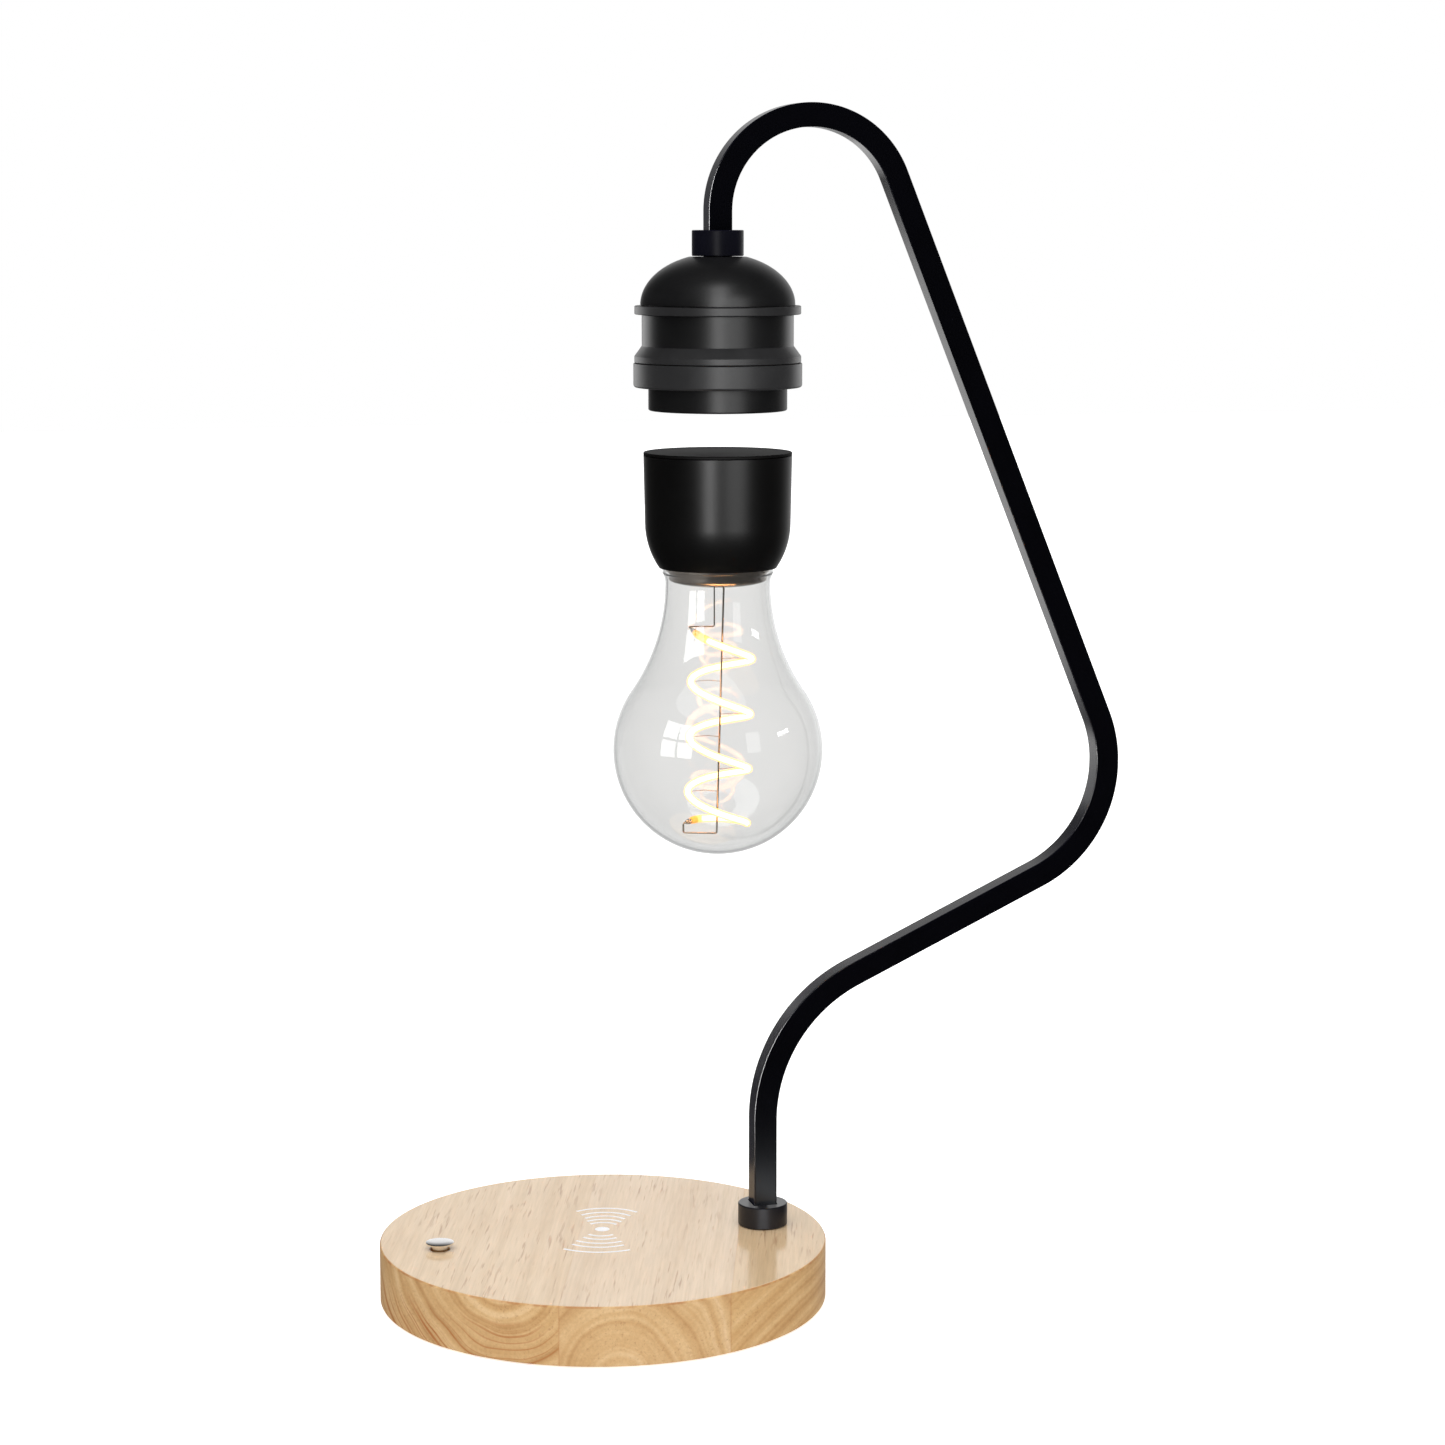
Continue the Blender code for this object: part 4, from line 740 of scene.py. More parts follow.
def makeHead():
    h = head
    sheet, edge = h["sheet"], h["trimEdge"]
    low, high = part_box("head_dome")
    height, hole = high.z - low.z, h["spigotHole"]
    outside = domeLine(h["dome"], h["crown"], low.z, height, 32)
    inside = domeLine(h["dome"] - sheet, h["crown"] - sheet, low.z, height - sheet, 16)
    outline = [(hole, outside[0][1])] + outside + inside[::-1] + [(hole, inside[0][1])]
    mountTurned("pressed_dome", "head_dome", outline, headPaint, "stand", "black_metal")

    low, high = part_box("head_flange")
    top, bottom, bore = high.z - h["flangeStep"], low.z + h["flangeStep"], h["couplingBore"]
    spigot = h["dome"] - sheet - h["flangePlay"]
    outline = [(bore, high.z), (spigot, high.z), (spigot, top), (h["flange"], top, edge)]
    outline += [(h["flange"], bottom, edge), (h["coupling"], bottom), (h["coupling"], low.z), (bore, low.z)]
    mountTurned("coupling_flange", "head_flange", filleted(outline, 5), trimPaint, "stand", "black_metal")

    low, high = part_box("head_shell")
    barrel, lip = h["barrel"], h["lip"]
    coneTop = high.z - h["barrelHeight"]
    lipTop = coneTop - h["coneHeight"]
    outline = [(barrel, high.z), (barrel, coneTop, h["coneEdge"]), (lip, lipTop, h["lipUpperEdge"])]
    outline += [(lip, low.z, h["lipLowerEdge"]), (lip - sheet, low.z), (lip - sheet, lipTop)]
    outline += [(barrel - sheet, coneTop), (barrel - sheet, high.z)]
    piece = latheFrom("barrel_shell", filleted(outline, 5), [headPaint, trimPaint], headAxis, 160, 28.0)
    for face in piece.data.polygons:
        face.material_index = 1 if face.center.z < coneTop - 0.1 * mm else 0
    mountOn(piece, "stand", "black_metal", "head_shell")

    low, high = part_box("head_collar")
    bore, seat, shoulder = h["collar"] - h["collarWall"], h["face"] + h["play"], low.z + h["collarFloor"]
    outline = [(bore, high.z), (h["collar"], high.z, edge), (h["collar"], low.z, h["collarEdge"])]
    outline += [(seat, low.z), (seat, shoulder), (bore, shoulder)]
    mountTurned("clamp_collar", "head_collar", filleted(outline, 6), trimPaint, "stand", "black_metal")

    low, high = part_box("head_face_cup")
    rim, face, wall = bore - h["play"], h["face"], h["faceWall"]
    floor = low.z + h["faceFloor"]
    outline = [(0, low.z), (face, low.z, h["faceEdge"]), (face, high.z - wall), (rim, high.z - wall)]
    outline += [(rim, high.z), (face - wall, high.z), (face - wall, floor), (0, floor)]
    mountTurned("magnet_face_cup", "head_face_cup", filleted(outline, 5), headPaint, "stand", "dark_plastic")


makeHead()
print("head pressed and turned")


# Cap of the floating bulb, with its lid

cap = {
    "radius": 21.06 * mm, "straight": 20.0 * mm, "taper": 0.4 * mm, "lip": 0.7 * mm,
    "wall": 1.7 * mm, "mouthHeight": 2.8 * mm, "play": 0.2 * mm, "lidHeight": 0.8 * mm,
    "lidEdge": 0.32 * mm, "lidLowerEdge": 0.12 * mm,
}
glass = {
    "radius": 30.0 * mm, "wall": 0.8 * mm, "neck": 15.0 * mm, "blend": 54.3 * mm,
    "neckShown": 4.4 * mm, "flareStart": 0.2 * mm, "flare": 5.0 * mm, "flareRise": 2.7 * mm,
    "neckTopRise": 3.5 * mm, "stemCrown": 2.5 * mm, "stemStep": 0.9 * mm, "play": 0.2 * mm,
}
capLow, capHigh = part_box("bulb_cap")
lidLow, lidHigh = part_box("cap_lid")
neckTop = glass["neck"] + glass["flare"] - math.sqrt(glass["flare"] ** 2 - glass["flareRise"] ** 2)
neckWaist = capLow.z - glass["neckShown"]
neckDrop = math.sqrt((glass["radius"] + glass["blend"]) ** 2 - (glass["neck"] + glass["blend"]) ** 2)
glassMiddle = neckWaist - neckDrop


def makeCap():
    c = cap
    mouth, bendTop, bendRadius = neckTop + c["play"], lidHigh.z - c["straight"], c["radius"] - c["taper"]
    drop, shift = bendTop - capLow.z, bendRadius - mouth - c["lip"]
    curve = (drop**2 + shift**2) / (2 * shift)
    outline = [(c["radius"], capHigh.z)]
    for step in range(25):
        turn = math.asin(drop / curve) * step / 24
        outline.append((bendRadius - curve * (1 - math.cos(turn)), bendTop - curve * math.sin(turn)))
    bore = bendRadius - c["wall"]
    outline += [(mouth + 0.1 * mm, capLow.z), (mouth, capLow.z + 0.15 * mm)]
    outline += [(mouth, capLow.z + c["mouthHeight"]), (bore, bendTop), (c["radius"] - c["wall"], capHigh.z)]
    mountTurned("bulb_cap_shell", "bulb_cap", outline, capPlastic, "bulb", "black_plastic")
    under, spigot = lidHigh.z - c["lidHeight"], bore - c["play"]
    outline = [(0, lidHigh.z), (c["radius"], lidHigh.z, c["lidEdge"])]
    outline += [(c["radius"], under, c["lidLowerEdge"]), (spigot, under), (spigot, lidLow.z), (0, lidLow.z)]
    mountTurned("bulb_cap_lid", "cap_lid", filleted(outline, 5), lidPlastic, "bulb", "black_plastic")


makeCap()
print("bulb cap turned")


# Blown glass, and the mirrored stem that closes its neck

clearGlass = {
    "ior": 1.46, "tint": (0.84, 0.875, 0.865), "density": 140.0, "wave": 55.0,
    "waveHeight": 0.02 * mm,
}


def blownGlass():
    g = clearGlass
    material, tree, shader = newMaterial("blownGlass")
    haze = noise(tree, objectPlace(tree), 140.0, 4.0, 0.7)
    tone = ramp(tree, haze, (0.3, (0.985, 0.99, 0.988)), (0.8, 1))
    waves = noise(tree, objectPlace(tree, (1, 1, 0.5)), g["wave"], 1.0)
    feed(tree, shader, {"Base Color": tone, "Roughness": 0.0, "Transmission Weight": 1.0, "IOR": g["ior"]})
    feed(tree, shader, {"Normal": bumped(tree, waves, g["waveHeight"], 0.6)})
    depth = addNode(tree, "ShaderNodeVolumeAbsorption", {"Color": (*g["tint"], 1), "Density": g["density"]})
    tree.links.new(depth.outputs[0], tree.nodes["Material Output"].inputs["Volume"])
    return material


def glassLine(inset, steps=48):
    # From the lowest point round the globe, up into the waist and out to the flare
    g = glass
    globe, blend, flare = g["radius"] - inset, g["blend"] + inset, g["flare"] + inset
    meet = math.asin(neckDrop / (g["radius"] + g["blend"]))
    line = [(0, glassMiddle - globe)]
    for step in range(1, steps + 1):
        turn = (meet + math.pi / 2) * step / steps - math.pi / 2
        line.append((globe * math.cos(turn), glassMiddle + globe * math.sin(turn)))
    for step in range(1, steps // 2 + 1):
        turn = meet * (1 - step / (steps // 2))
        line.append((g["neck"] + g["blend"] - blend * math.cos(turn), neckWaist - blend * math.sin(turn)))
    for step in range(7):
        turn = math.asin(g["flareRise"] / g["flare"]) * step / 6
        height = neckWaist + g["flareStart"] + flare * math.sin(turn)
        line.append((g["neck"] + g["flare"] - flare * math.cos(turn), height))
    return line + [(neckTop - inset, capLow.z + g["neckTopRise"])]


def makeGlass():
    g = glass
    outline = glassLine(0) + glassLine(g["wall"])[::-1]
    piece = latheFrom("glass_envelope", outline, blownGlass(), headAxis, 160, 60.0)
    piece.visible_shadow = False
    mountOn(piece, "bulb", "clear_glass", "glass_bulb")
    # The stem plate bulges down into the neck in a shallow bowl
    low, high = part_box("stem_plate")
    waist, rim = g["neck"] - g["wall"] - g["play"], neckTop - g["wall"] - g["play"]
    step, edge = capLow.z - g["stemStep"], low.z + g["stemCrown"]
    outline = [(0, high.z), (rim, high.z), (rim, step, 0.2 * mm), (waist, step, 0.2 * mm), (waist, edge)]
    outline = filleted(outline, 4)[:-1]
    for turn in [math.pi / 2 * part / 20 for part in range(20)]:
        outline.append((waist * math.cos(turn), edge - g["stemCrown"] * math.sin(turn)))
    outline.append((0, low.z))
    mountTurned("glass_stem_plate", "stem_plate", outline, mirrorMetal, "bulb", "mirrored_plate", 128, 50.0)


makeGlass()
print("glass blown")


# Glowing spiral filament, its two metal tips, the mast with its hooks and the short lead

coil = {
    "radius": 8.65 * mm, "wire": 1.1 * mm, "core": 0.8 * mm, "topDrop": 12.3 * mm,
    "footRise": 7.5 * mm, "halfTurns": 7, "lastDrop": 1.7 * mm, "trim": 0.15,
    "tilt": math.radians(4.85), "turn": math.radians(-15.0), "deadEnd": 2.9 * mm,
    "tipRadius": 0.8 * mm, "tipLength": 2.4 * mm,
    "tipShape": {0: 0.8, 0.1: 1.0, 0.3: 1.0, 0.6: 0.85, 0.85: 0.7, 1: 0.5}, "tipGap": 0.2 * mm,
}
mast = {
    "radius": 0.27 * mm, "topSide": 1.7 * mm, "footSide": -0.3 * mm, "foot": 2.8 * mm,
    "hook": 0.1 * mm, "hookGap": 0.1 * mm, "hookSag": 0.3 * mm, "hookBend": 3.0 * mm,
    "leadSide": 1.0 * mm, "lead": 0.2 * mm, "approach": 1.2 * mm, "bend": 0.6 * mm,
    "sunk": 0.3 * mm,
}
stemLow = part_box("stem_plate")[0].z
coilTop = stemLow - coil["topDrop"]
coilFoot = glassMiddle - glass["radius"] + coil["footRise"]
halfPitch = (coilTop - coilFoot - coil["lastDrop"]) / coil["halfTurns"]


def glowing(name, colour, strength, under, alpha=1.0):
    material, tree, shader = newMaterial(name)
    spots = noise(tree, objectPlace(tree), 1500.0, 2.0)
    tone = ramp(tree, spots, (0.3, shaded(under, 0.85)), (0.7, under))
    light = ramp(tree, spots, (0.3, shaded(colour, 0.93)), (0.7, colour))
    coat(tree, shader, tone, spread(tree, spots, 0.4, 0.6), bumped(tree, spots, 0.02 * mm, 0.4))
    feed(tree, shader, {"Emission Color": light, "Emission Strength": strength, "Alpha": alpha})
    return material


def inBulb(x, y, z):
    placed = Matrix.Rotation(coil["turn"], 2) @ Vector((x, y))
    return Vector((headAxis[0] + placed.x, placed.y, z))


def mastSide(z):
    # The mast leans a little, and the coil is wound round it
    return mast["topSide"] + (mast["footSide"] - mast["topSide"]) * (stemLow - z) / (stemLow - coilFoot)


def coilPoint(halfTurns):
    turn = math.pi * (1 + halfTurns)
    x, y = coil["radius"] * math.cos(turn), coil["radius"] * math.sin(turn)
    steep = min(halfTurns, coil["halfTurns"])
    drop = steep * halfPitch + (halfTurns - steep) * coil["lastDrop"]
    z = coilTop - drop - x * math.tan(coil["tilt"])
    return inBulb(mastSide(z) + x, y, z)


def easedLine(points, radius, steps=6):
    # Rounds the corners of a line of wire
    line = [points[0]]
    for before, here, after in zip(points, points[1:], points[2:]):
        back, ahead = (before - here).normalized(), (after - here).normalized()
        longest = min((before - here).length, (after - here).length) / 2
        reach = min(radius / math.tan(back.angle(ahead) / 2), longest)
        start, end = here + back * reach, here + ahead * reach
        for t in [step / steps for step in range(steps + 1)]:
            line.append(start * (1 - t) ** 2 + here * 2 * t * (1 - t) + end * t**2)
    return line + [points[-1]]


def mountWire(name, node, shape, finish, slot):
    mountOn(finishMesh(name, shape, finish, 60.0), "bulb", slot, *node)


def makeFilament():
    # A bright core in a clear amber sleeve, which darkens at the two unlit ends
    c = coil
    halves = c["halfTurns"] + 1
    count = halves * 30
    length = halves - 2 * c["trim"]
    line = [coilPoint(c["trim"] + length * step / count) for step in range(count + 1)]
    radii = [c["wire"] * {0: 0.8, 1: 0.93}.get(min(index, count - index), 1.0) for index in range(count + 1)]
    sleeve = finishMesh("filament_sleeve", tubeShape(line, radii, 24), [amberSleeve, amberEnd], 60.0)
    for face in sleeve.data.polygons:
        near = min((face.center - end).length for end in (line[0], line[-1]))
        face.material_index = 1 if near < c["deadEnd"] else 0
    mountOn(sleeve, "bulb", "glowing_filament", "filament")
    mountWire("filament_core", (), tubeShape(line[6:-6], c["core"]), whiteHot, "glowing_filament")
    ends = []
    for name, end, inner in (("top", line[0], line[1]), ("bottom", line[-1], line[-2])):
        outward = (end - inner).normalized()
        start = end + outward * c["tipGap"]
        stop = start + outward * c["tipLength"]
        mids = [start.lerp(stop, share) for share in c["tipShape"]]
        tip = tubeShape(mids, [c["tipRadius"] * share for share in c["tipShape"].values()])
        mountWire(f"filament_end_{name}", [f"filament_tip_{name}"], tip, brightSteel, "steel")
        ends.append((stop + outward * (c["tipGap"] + mast["approach"]), stop + outward * c["tipGap"]))
    return ends


def makeWires(topEnd, bottomEnd):
    m = mast
    start, foot = stemLow + m["sunk"], bottomEnd[0].z - m["foot"]
    top, bottom = inBulb(mastSide(start), 0, start), inBulb(mastSide(foot), 0, foot)
    corner = Vector((*bottomEnd[0].xy, foot))
    shapes = [tubeShape(easedLine([top, bottom, corner, *bottomEnd], m["bend"]), m["radius"], 12)]
    for half in range(1, coil["halfTurns"]):
        strand = coilPoint(half)
        root = top.lerp(bottom, (start - strand.z) / (start - foot))
        tip = strand - (strand - root).normalized() * (coil["wire"] + m["hookGap"])
        middle = root.lerp(tip, 0.5) + Vector((0, 0, m["hookSag"]))
        shapes.append(tubeShape(easedLine([root, middle, tip], m["hookBend"]), m["hook"], 8))
    mountWire("mast_and_hooks", ["mast_wire"], joined(shapes), thinWire, "steel")
    route = [inBulb(-m["leadSide"], 0, z) for z in (start, topEnd[0].z)]
    lead = tubeShape(easedLine([*route, *topEnd], m["bend"]), m["lead"], 12)
    mountWire("short_lead", ["lead_wire"], lead, thinWire, "steel")


whiteHot = glowing("litFilament", (1.0, 0.72, 0.42), 9.0, (0.9, 0.7, 0.4))
amberSleeve = glowing("amberPhosphor", (1.0, 0.52, 0.14), 1.0, (1.0, 0.52, 0.14), 0.7)
amberEnd = glowing("unlitAmberEnd", (1.0, 0.33, 0.03), 0.75, (0.85, 0.35, 0.05))
makeWires(*makeFilament())
print("filament wound")


# Underside: steel plate, four countersunk screws and the grooved rubber pad

plate = {"lowerEdge": 0.25 * mm, "upperEdge": 0.15 * mm, "play": 0.2 * mm, "past": 1.0 * mm, "steps": 192}
screw = {
    "head": 2.6 * mm, "radius": 1.4 * mm, "headDepth": 1.0 * mm, "recess": 0.6 * mm,
    "cross": ((1.5 * mm, 0.28 * mm), (0.28 * mm, 1.5 * mm)),
    "pitch": 0.5 * mm, "root": 0.8, "threadStart": 0.6 * mm, "threadEnd": 1.6 * mm,
    "point": 0.8 * mm,
}
pad = {"edge": 0.2 * mm, "margin": 1.5 * mm, "grooves": 5, "apart": 3.0 * mm, "depth": 0.35 * mm}


def makePlate(places):
    low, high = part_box("bottom_plate")
    p, past = plate, plate["past"]
    outline = [(0, low.z), (high.x, low.z, p["lowerEdge"]), (high.x, high.z, p["upperEdge"]), (0, high.z)]
    piece = latheFrom("steel_base_plate", filleted(outline, 4), zincPlate, steps=p["steps"])
    wide, narrow = screw["head"] + p["play"], screw["radius"] + p["play"]
    sink = [(0, low.z - past), (wide, low.z - past), (wide, low.z), (narrow, high.z - p["play"] / 2)]
    sink += [(narrow, high.z + past), (0, high.z + past)]
    cutBy(piece, [latheShape(sink, place, 48) for place in places])
    mountOn(piece, "stand", "steel", "bottom_plate")


def makeScrew(number, place):
    s, radius = screw, screw["radius"]
    low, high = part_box(f"plate_screw_{number}")
    outline = [(0, low.z), (s["head"] - 0.15 * mm, low.z), (s["head"], low.z + 0.1 * mm)]
    outline += [(radius, low.z + s["headDepth"])]
    # Thread, as rings one pitch apart
    root, pitch = radius * s["root"], s["pitch"]
    z = low.z + s["headDepth"] + s["threadStart"]
    while z < high.z - s["threadEnd"]:
        outline += [(root, z), (radius, z + pitch / 2), (root, z + pitch)]
        z += pitch
    outline += [(radius * 0.6, high.z - s["point"]), (0, high.z)]
    piece = latheFrom(f"countersunk_screw_{number}", outline, brightSteel, place, 48, 30.0)
    for width, length in s["cross"]:
        bar = boxShape((-width, -length, -1 * mm), (width, length, s["recess"]))
        turned = Matrix.Translation((*place, low.z)) @ Matrix.Rotation(0.5 * number, 4, "Z")
        bmesh.ops.transform(bar, matrix=turned, verts=bar.verts)
        cutBy(piece, [bar], 30.0)
    mountOn(piece, "stand", "steel", f"plate_screw_{number}")


def makePad():
    low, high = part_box("base_pad")
    p = pad
    outline = [(0, low.z)]
    for groove in range(p["grooves"] - 1, -1, -1):
        ring = high.x - p["margin"] - groove * p["apart"]
        for away, depth in ((-0.5, 0), (-0.3, p["depth"]), (0.3, p["depth"]), (0.5, 0)):
            outline.append((ring + away * mm, low.z + depth))
    outline += [(high.x - p["edge"], low.z), (high.x, low.z + p["edge"]), (high.x, high.z), (0, high.z)]
    piece = latheFrom("grooved_rubber_pad", outline, padRubber, steps=plate["steps"])
    mountOn(piece, "stand", "rubber", "base_pad")


screwPlaces = []
for number in range(1, 5):
    screwLow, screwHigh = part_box(f"plate_screw_{number}")
    screwPlaces.append(((screwLow.x + screwHigh.x) / 2, (screwLow.y + screwHigh.y) / 2))
makePlate(screwPlaces)
for number, place in enumerate(screwPlaces, 1):
    makeScrew(number, place)
makePad()
print("underside closed")


# Power socket in the rear of the rim

socket = {
    "radius": 4.2 * mm, "bore": 3.1 * mm, "depth": 12.0 * mm, "lip": 0.3 * mm, "lipDrop": 0.25 * mm,
    "noseStart": 4.0 * mm, "body": 11.0 * mm, "bodyBore": 4.0 * mm, "bevel": 0.4 * mm,
}


def mountSocket(name, shape, finish, slot, sharpAbove, *node):
    mountOn(finishMesh(name, shape, finish, sharpAbove), "stand", slot, *node)


def makeSocket():
    s, radius, bore, lip = socket, socket["radius"], socket["bore"], socket["lip"]
    low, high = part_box("power_socket")
    mouth, floor, start = high.y, high.y - s["depth"], low.y + s["noseStart"]
    nose = [(0, start), (radius, start), (radius, mouth - lip), (radius - lip, mouth)]
    nose += [(bore + s["lipDrop"], mouth), (bore, mouth - s["lipDrop"]), (bore, floor), (0, floor)]
    shape = turnedToRear(latheShape(nose, steps=96))
    mountSocket("barrel_socket", shape, socketPlastic, "dark_plastic", 40.0, "power_socket")
    body = boxShape(low, (high.x, low.y + s["body"], high.z))
    bmesh.ops.bevel(body, geom=body.edges[:], offset=s["bevel"], segments=3, profile=0.5, affect="EDGES")
    piece = finishMesh("socket_body", body, socketPlastic, 40.0)
    hole = [(0, floor), (s["bodyBore"], floor), (s["bodyBore"], mouth), (0, mouth)]
    cutBy(piece, [turnedToRear(latheShape(hole, steps=48))], 40.0)
    mountOn(piece, "stand", "dark_plastic")
    low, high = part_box("socket_pin")
    radius = (high.x - low.x) / 2
    pin = [(0, low.y), (radius, low.y), (radius, high.y - 0.5 * mm), (radius * 0.8, high.y - 0.12 * mm)]
    shape = turnedToRear(latheShape(pin + [(0, high.y)], steps=32))
    mountSocket("socket_centre_pin", shape, brightSteel, "steel", 50.0, "socket_pin")


makeSocket()
print("socket fitted")


# Parts inside the base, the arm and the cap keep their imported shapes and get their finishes

finishes = {
    copperWire: ["charging_coil", "coil_lead", "lift_coil", "power_coil", "receiver_coil"],
    ferriteGrey: ["ferrite_sheet"],
    boardGreen: ["control_board", "driver_board", "sensor_board", "receiver_board"],
    brightSteel: [f"board_spacer_{number}" for number in range(1, 5)]
    + ["button_clip", "ferrule_nut", "ferrule_washer", "foot_nut", "foot_washer", "iron_core"],
    nickelMetal: ["bias_magnet", "float_magnet"],
    leadPlastic: ["arm_lead", "socket_lead", "coil_bobbin"],
    socketPlastic: ["tact_switch", "switch_plunger", "magnet_carrier"],
}
for finish, names in finishes.items():
    for name in names:
        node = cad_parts[name]
        node.data.materials.clear()
        node.data.materials.append(finish)
print("inner parts finished")


# Floor, studio light and camera

studio = {
    "floorSize": 8.0, "floorTone": 0.93, "floorGlow": 0.6, "skyBounce": 0.5, "floorBounce": 1.15,
    "throughGlass": (0.915, 0.90, 0.89), "backdrop": 0.95, "front": 0.012, "sun": 1.95,
    "sunTurn": (math.radians(14), math.radians(-10), 0), "softAngle": math.radians(70),
}
camera = {
    "place": (-0.2133, -0.9297, 0.3115), "turn": (math.radians(81.4455), 0.0, math.radians(-15.0)),
    "lens": 84.74,
}


def makeFloor():
    half, tone = studio["floorSize"] / 2, studio["floorTone"]
    mesh = bpy.data.meshes.new("floor")
    corners = [(-half, -half, 0), (half, -half, 0), (half, half, 0), (-half, half, 0)]
    mesh.from_pydata(corners, [], [(0, 1, 2, 3)])
    floor = bpy.data.objects.new("floor", mesh)
    scene.collection.objects.link(floor)
    floor.visible_glossy = floor.visible_diffuse = floor.visible_transmission = floor.visible_shadow = False
    material, tree, shader = newMaterial("paleFloor")
    speck = ramp(tree, noise(tree, objectPlace(tree), 40.0, 3.0), (0.3, tone * 0.99), (0.7, tone))
    feed(tree, shader, {"Base Color": speck, "Roughness": 0.9, "Specular IOR Level": 0.0})
    feed(tree, shader, {"Emission Color": (1, 1, 1, 1), "Emission Strength": studio["floorGlow"]})
    # From below the floor is clear, so that the underside can be looked at
    below = addNode(tree, "ShaderNodeNewGeometry").outputs["Backfacing"]
    clear = addNode(tree, "ShaderNodeBsdfTransparent").outputs[0]
    both = addNode(tree, "ShaderNodeMixShader", {0: below, 1: shader.outputs[0], 2: clear})
    tree.links.new(both.outputs[0], tree.nodes["Material Output"].inputs["Surface"])
    mesh.materials.append(material)


def makeWorld():
    world = bpy.data.worlds.new("studio")
    scene.world = world
    world.use_nodes = True
    tree = world.node_tree
    place = addNode(tree, "ShaderNodeTexCoord").outputs["Generated"]
    turned = addNode(tree, "ShaderNodeMapping", {"Vector": place, "Rotation": (0, 0, math.radians(15))})
    parts = addNode(tree, "ShaderNodeSeparateXYZ", {0: turned.outputs[0]}).outputs

    def tones(axis, *stops):
        # A grey for each direction, from 0 at one end of the axis to 1 at the other
        return ramp(tree, spread(tree, parts[axis], 0.0, 1.0, -1.0, 1.0), *stops)

    far = tones(1, (0.5, studio["front"]), (0.7, 0.06), (0.86, 0.32), (1.0, studio["backdrop"]))
    up = tones(2, (0.3, 0.3), (0.45, 1), (0.66, 1), (0.9, 0.4))
    # A dark screen stands behind the lamp on the left
    screen = tones(0, (0.24, 0.15), (0.30, 0.35), (0.42, 1))
    mirrored = tinted(tree, tinted(tree, far, up), screen)
    rays = addNode(tree, "ShaderNodeLightPath").outputs
    bounced = sums(tree, "MULTIPLY", rays["Is Glossy Ray"], rays["Is Reflection Ray"])
    # Seen through the glass the backdrop is a little greyer, and what the stem mirrors stays mirrored
    tone = mixed(tree, rays["Is Transmission Ray"], (1, 1, 1, 1), (*studio["throughGlass"], 1))
    soft = tones(2, (0.47, studio["floorBounce"]), (0.53, studio["skyBounce"]))
    tone = mixed(tree, rays["Is Diffuse Ray"], tone, soft)
    tone = mixed(tree, bounced, tone, mirrored)
    clean = sums(tree, "MULTIPLY", bounced, rays["Is Singular Ray"])
    tone = mixed(tree, clean, tone, tones(1, (0.5, 0.02), (0.62, 0.35), (0.8, 0.9), (1.0, 1)))
    offMetal = sums(tree, "GREATER_THAN", rays["Glossy Depth"], 0.5)
    offMetal = sums(tree, "MULTIPLY", offMetal, rays["Is Transmission Ray"])
    sides = tones(0, (0.2, 0.2), (0.4, 0.085), (1.0, 0.05))
    tone = mixed(tree, offMetal, tone, mixed(tree, 1.0, mirrored, sides, "ADD"))
    tree.links.new(tone, tree.nodes["Background"].inputs["Color"])


def aimedLight(name, place, aim, size, power, only, glossy=True, diffuse=True, colour=(1, 1, 1), alone=False):
    data = bpy.data.lights.new(name, "AREA")
    data.shape, data.energy, data.color = "RECTANGLE", power, colour
    data.size, data.size_y = size
    light = bpy.data.objects.new(name, data)
    light.location = place
    light.rotation_euler = (Vector(aim) - Vector(place)).to_track_quat("-Z", "Y").to_euler()
    scene.collection.objects.link(light)
    light.visible_glossy, light.visible_diffuse = glossy, diffuse
    light.visible_camera = light.visible_transmission = False
    group = bpy.data.collections.new(name + "_lights_only")
    for piece in only:
        group.objects.link(bpy.data.objects[piece])
    light.light_linking.receiver_collection = group
    if alone:
        light.light_linking.blocker_collection = group


def around(turn, rise, distance, aim):
    # A place seen from aim, turned to the right of the camera's side and raised
    heading = math.radians(-15 + turn)
    flat = distance * math.cos(math.radians(rise))
    height = aim[2] + distance * math.sin(math.radians(rise))
    return (aim[0] + flat * math.sin(heading), aim[1] - flat * math.cos(heading), height)


headParts = ["pressed_dome", "coupling_flange", "barrel_shell", "clamp_collar", "magnet_face_cup"]
capParts = ["bulb_cap_shell", "bulb_cap_lid"]
glassOnly, stemOnly, footOnly = ["glass_envelope"], ["glass_stem_plate"], ["foot_socket_collar"]
aims = {
    "head": (headAxis[0], 0, 0.27),
    "cap": (headAxis[0], 0, capLow.z + 20 * mm),
    "arm": (headAxis[0] + 60 * mm, 0, 0.2),
    "elbow": (0.15, 0, 0.17),
    "foot": (footAxis[0], 0, 0.025),
    "rim": (0, 0, 0.01),
    "bulb": (headAxis[0], 0, glassMiddle),
    "stem": (headAxis[0], 0, stemLow),
}
shine, dull = {"diffuse": False}, {"glossy": False}
bare, cool = {"alone": True}, {"alone": True, "colour": (0.84, 0.9, 1.0)}
bluish = {"alone": True, "colour": (0.9, 0.95, 1.0)}
# Four panes of one window, mirrored in the glass
panes = [(-46 + side * 19.5, 15 + level * 18, 1.1) for side in (-0.5, 0.5) for level in (-0.5, 0.5)]
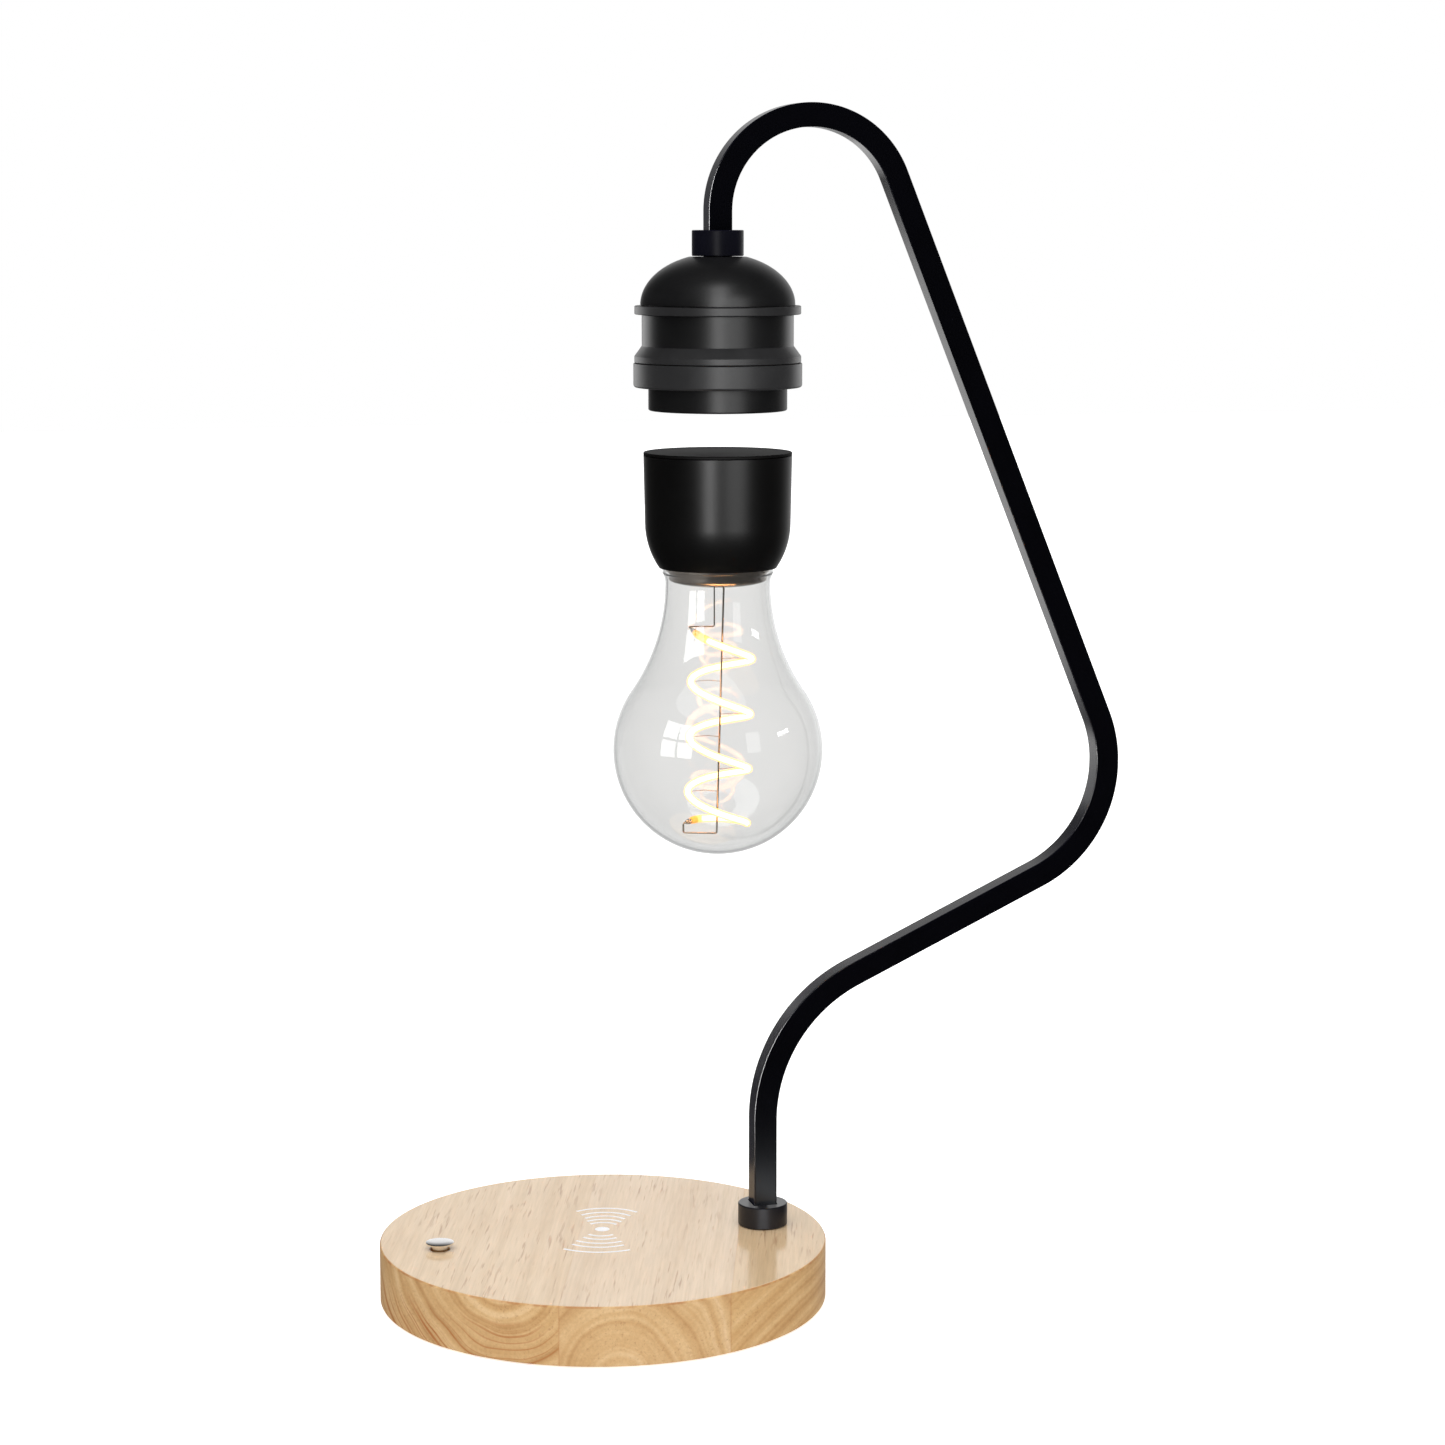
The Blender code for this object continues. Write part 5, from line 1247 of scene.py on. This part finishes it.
# Name, aim, turn and rise in degrees with distance, or a place, then size, watts, what it lights, and how
lights = [
    ("main_softbox", "head", (1, 6, 1.2), (0.36, 1.0), 6.6, headParts, {}),
    ("side_softbox", "head", (28, 6, 1.2), (0.6, 1.0), 4.4, headParts, {}),
    ("dome_softbox", "head", (3, 46, 1.2), (0.38, 0.8), 4.6, headParts[:1], {}),
    ("ferrule_softbox", "head", (-4, 4, 1.2), (0.4, 0.8), 0.9, ["arm_ferrule"], {}),
    ("cap_softbox", "cap", (-12, 8, 1.2), (0.26, 0.8), 9.6, capParts, {}),
    ("cap_side_softbox", "cap", (28, 8, 1.2), (0.7, 0.8), 7.6, capParts, {}),
    ("edge_panel", "head", (-140, 0, 1.2), (0.8, 0.8), 3.4, headParts[1:4], {}),
    ("edge_panel", "head", (140, 0, 1.2), (0.8, 0.8), 1.9, headParts[1:4], {}),
    ("arm_strip", "arm", (-72, 4, 1.6), (0.4, 1.6), 100.0, ["bent_arm"], {}),
    ("elbow_panel", "elbow", Vector((0.03, 0.485, 0.1)), (0.2, 0.2), 0.15, ["bent_arm"], bare),
    ("foot_softbox", "foot", (2, -12, 1.0), (0.35, 0.9), 7.4, footOnly, cool),
    ("foot_rear", "foot", (180, 17, 1.0), (0.5, 0.3), 0.4, footOnly, bare),
    ("foot_bounce", "foot", (30, -14, 0.08), (0.06, 0.012), 0.0042, ["bent_arm"], bluish),
    ("rim_softbox", "rim", (18, 12, 1.6), (1.2, 0.8), 5.0, ["wooden_base"], dull),
    *[("window_pane", "bulb", pane, (0.33, 0.33 * 0.92), 2.3, glassOnly + stemOnly, shine) for pane in panes],
    ("far_window", "bulb", (40, 14, 1.1), (0.3, 0.4), 1.0, glassOnly, shine),
    ("side_strip", "bulb", (80, 16, 1.1), (0.30, 0.06), 0.9, glassOnly, shine),
    ("stem_strip", "stem", (-34, 4, 1.1), (0.1, 0.7), 0.5, stemOnly, shine),
    ("stem_side", "stem", (-95, 4, 1.1), (0.9, 0.7), 1.2, stemOnly, shine),
    ("stem_right", "stem", (70, 4, 1.1), (0.12, 0.7), 0.12, stemOnly, shine),
]


def makeLights():
    sun = bpy.data.objects.new("overhead_sky", bpy.data.lights.new("overhead_sky", "SUN"))
    sun.data.energy, sun.data.angle = studio["sun"], studio["softAngle"]
    sun.rotation_euler = studio["sunTurn"]
    sun.visible_glossy = False
    scene.collection.objects.link(sun)
    for name, target, where, size, power, only, how in lights:
        place = where if isinstance(where, Vector) else around(*where, aims[target])
        aimedLight(name, place, aims[target], size, power, only, **how)


def makeCamera():
    data = bpy.data.cameras.new("camera")
    data.lens, data.sensor_width = camera["lens"], 36.0
    data.clip_start, data.clip_end = 0.05, 50.0
    eye = bpy.data.objects.new("camera", data)
    eye.location, eye.rotation_euler = camera["place"], camera["turn"]
    scene.collection.objects.link(eye)
    scene.camera = eye


makeFloor()
makeWorld()
makeLights()
makeCamera()
scene.view_settings.view_transform = "Standard"
print("studio lit")

bpy.context.view_layer.update()
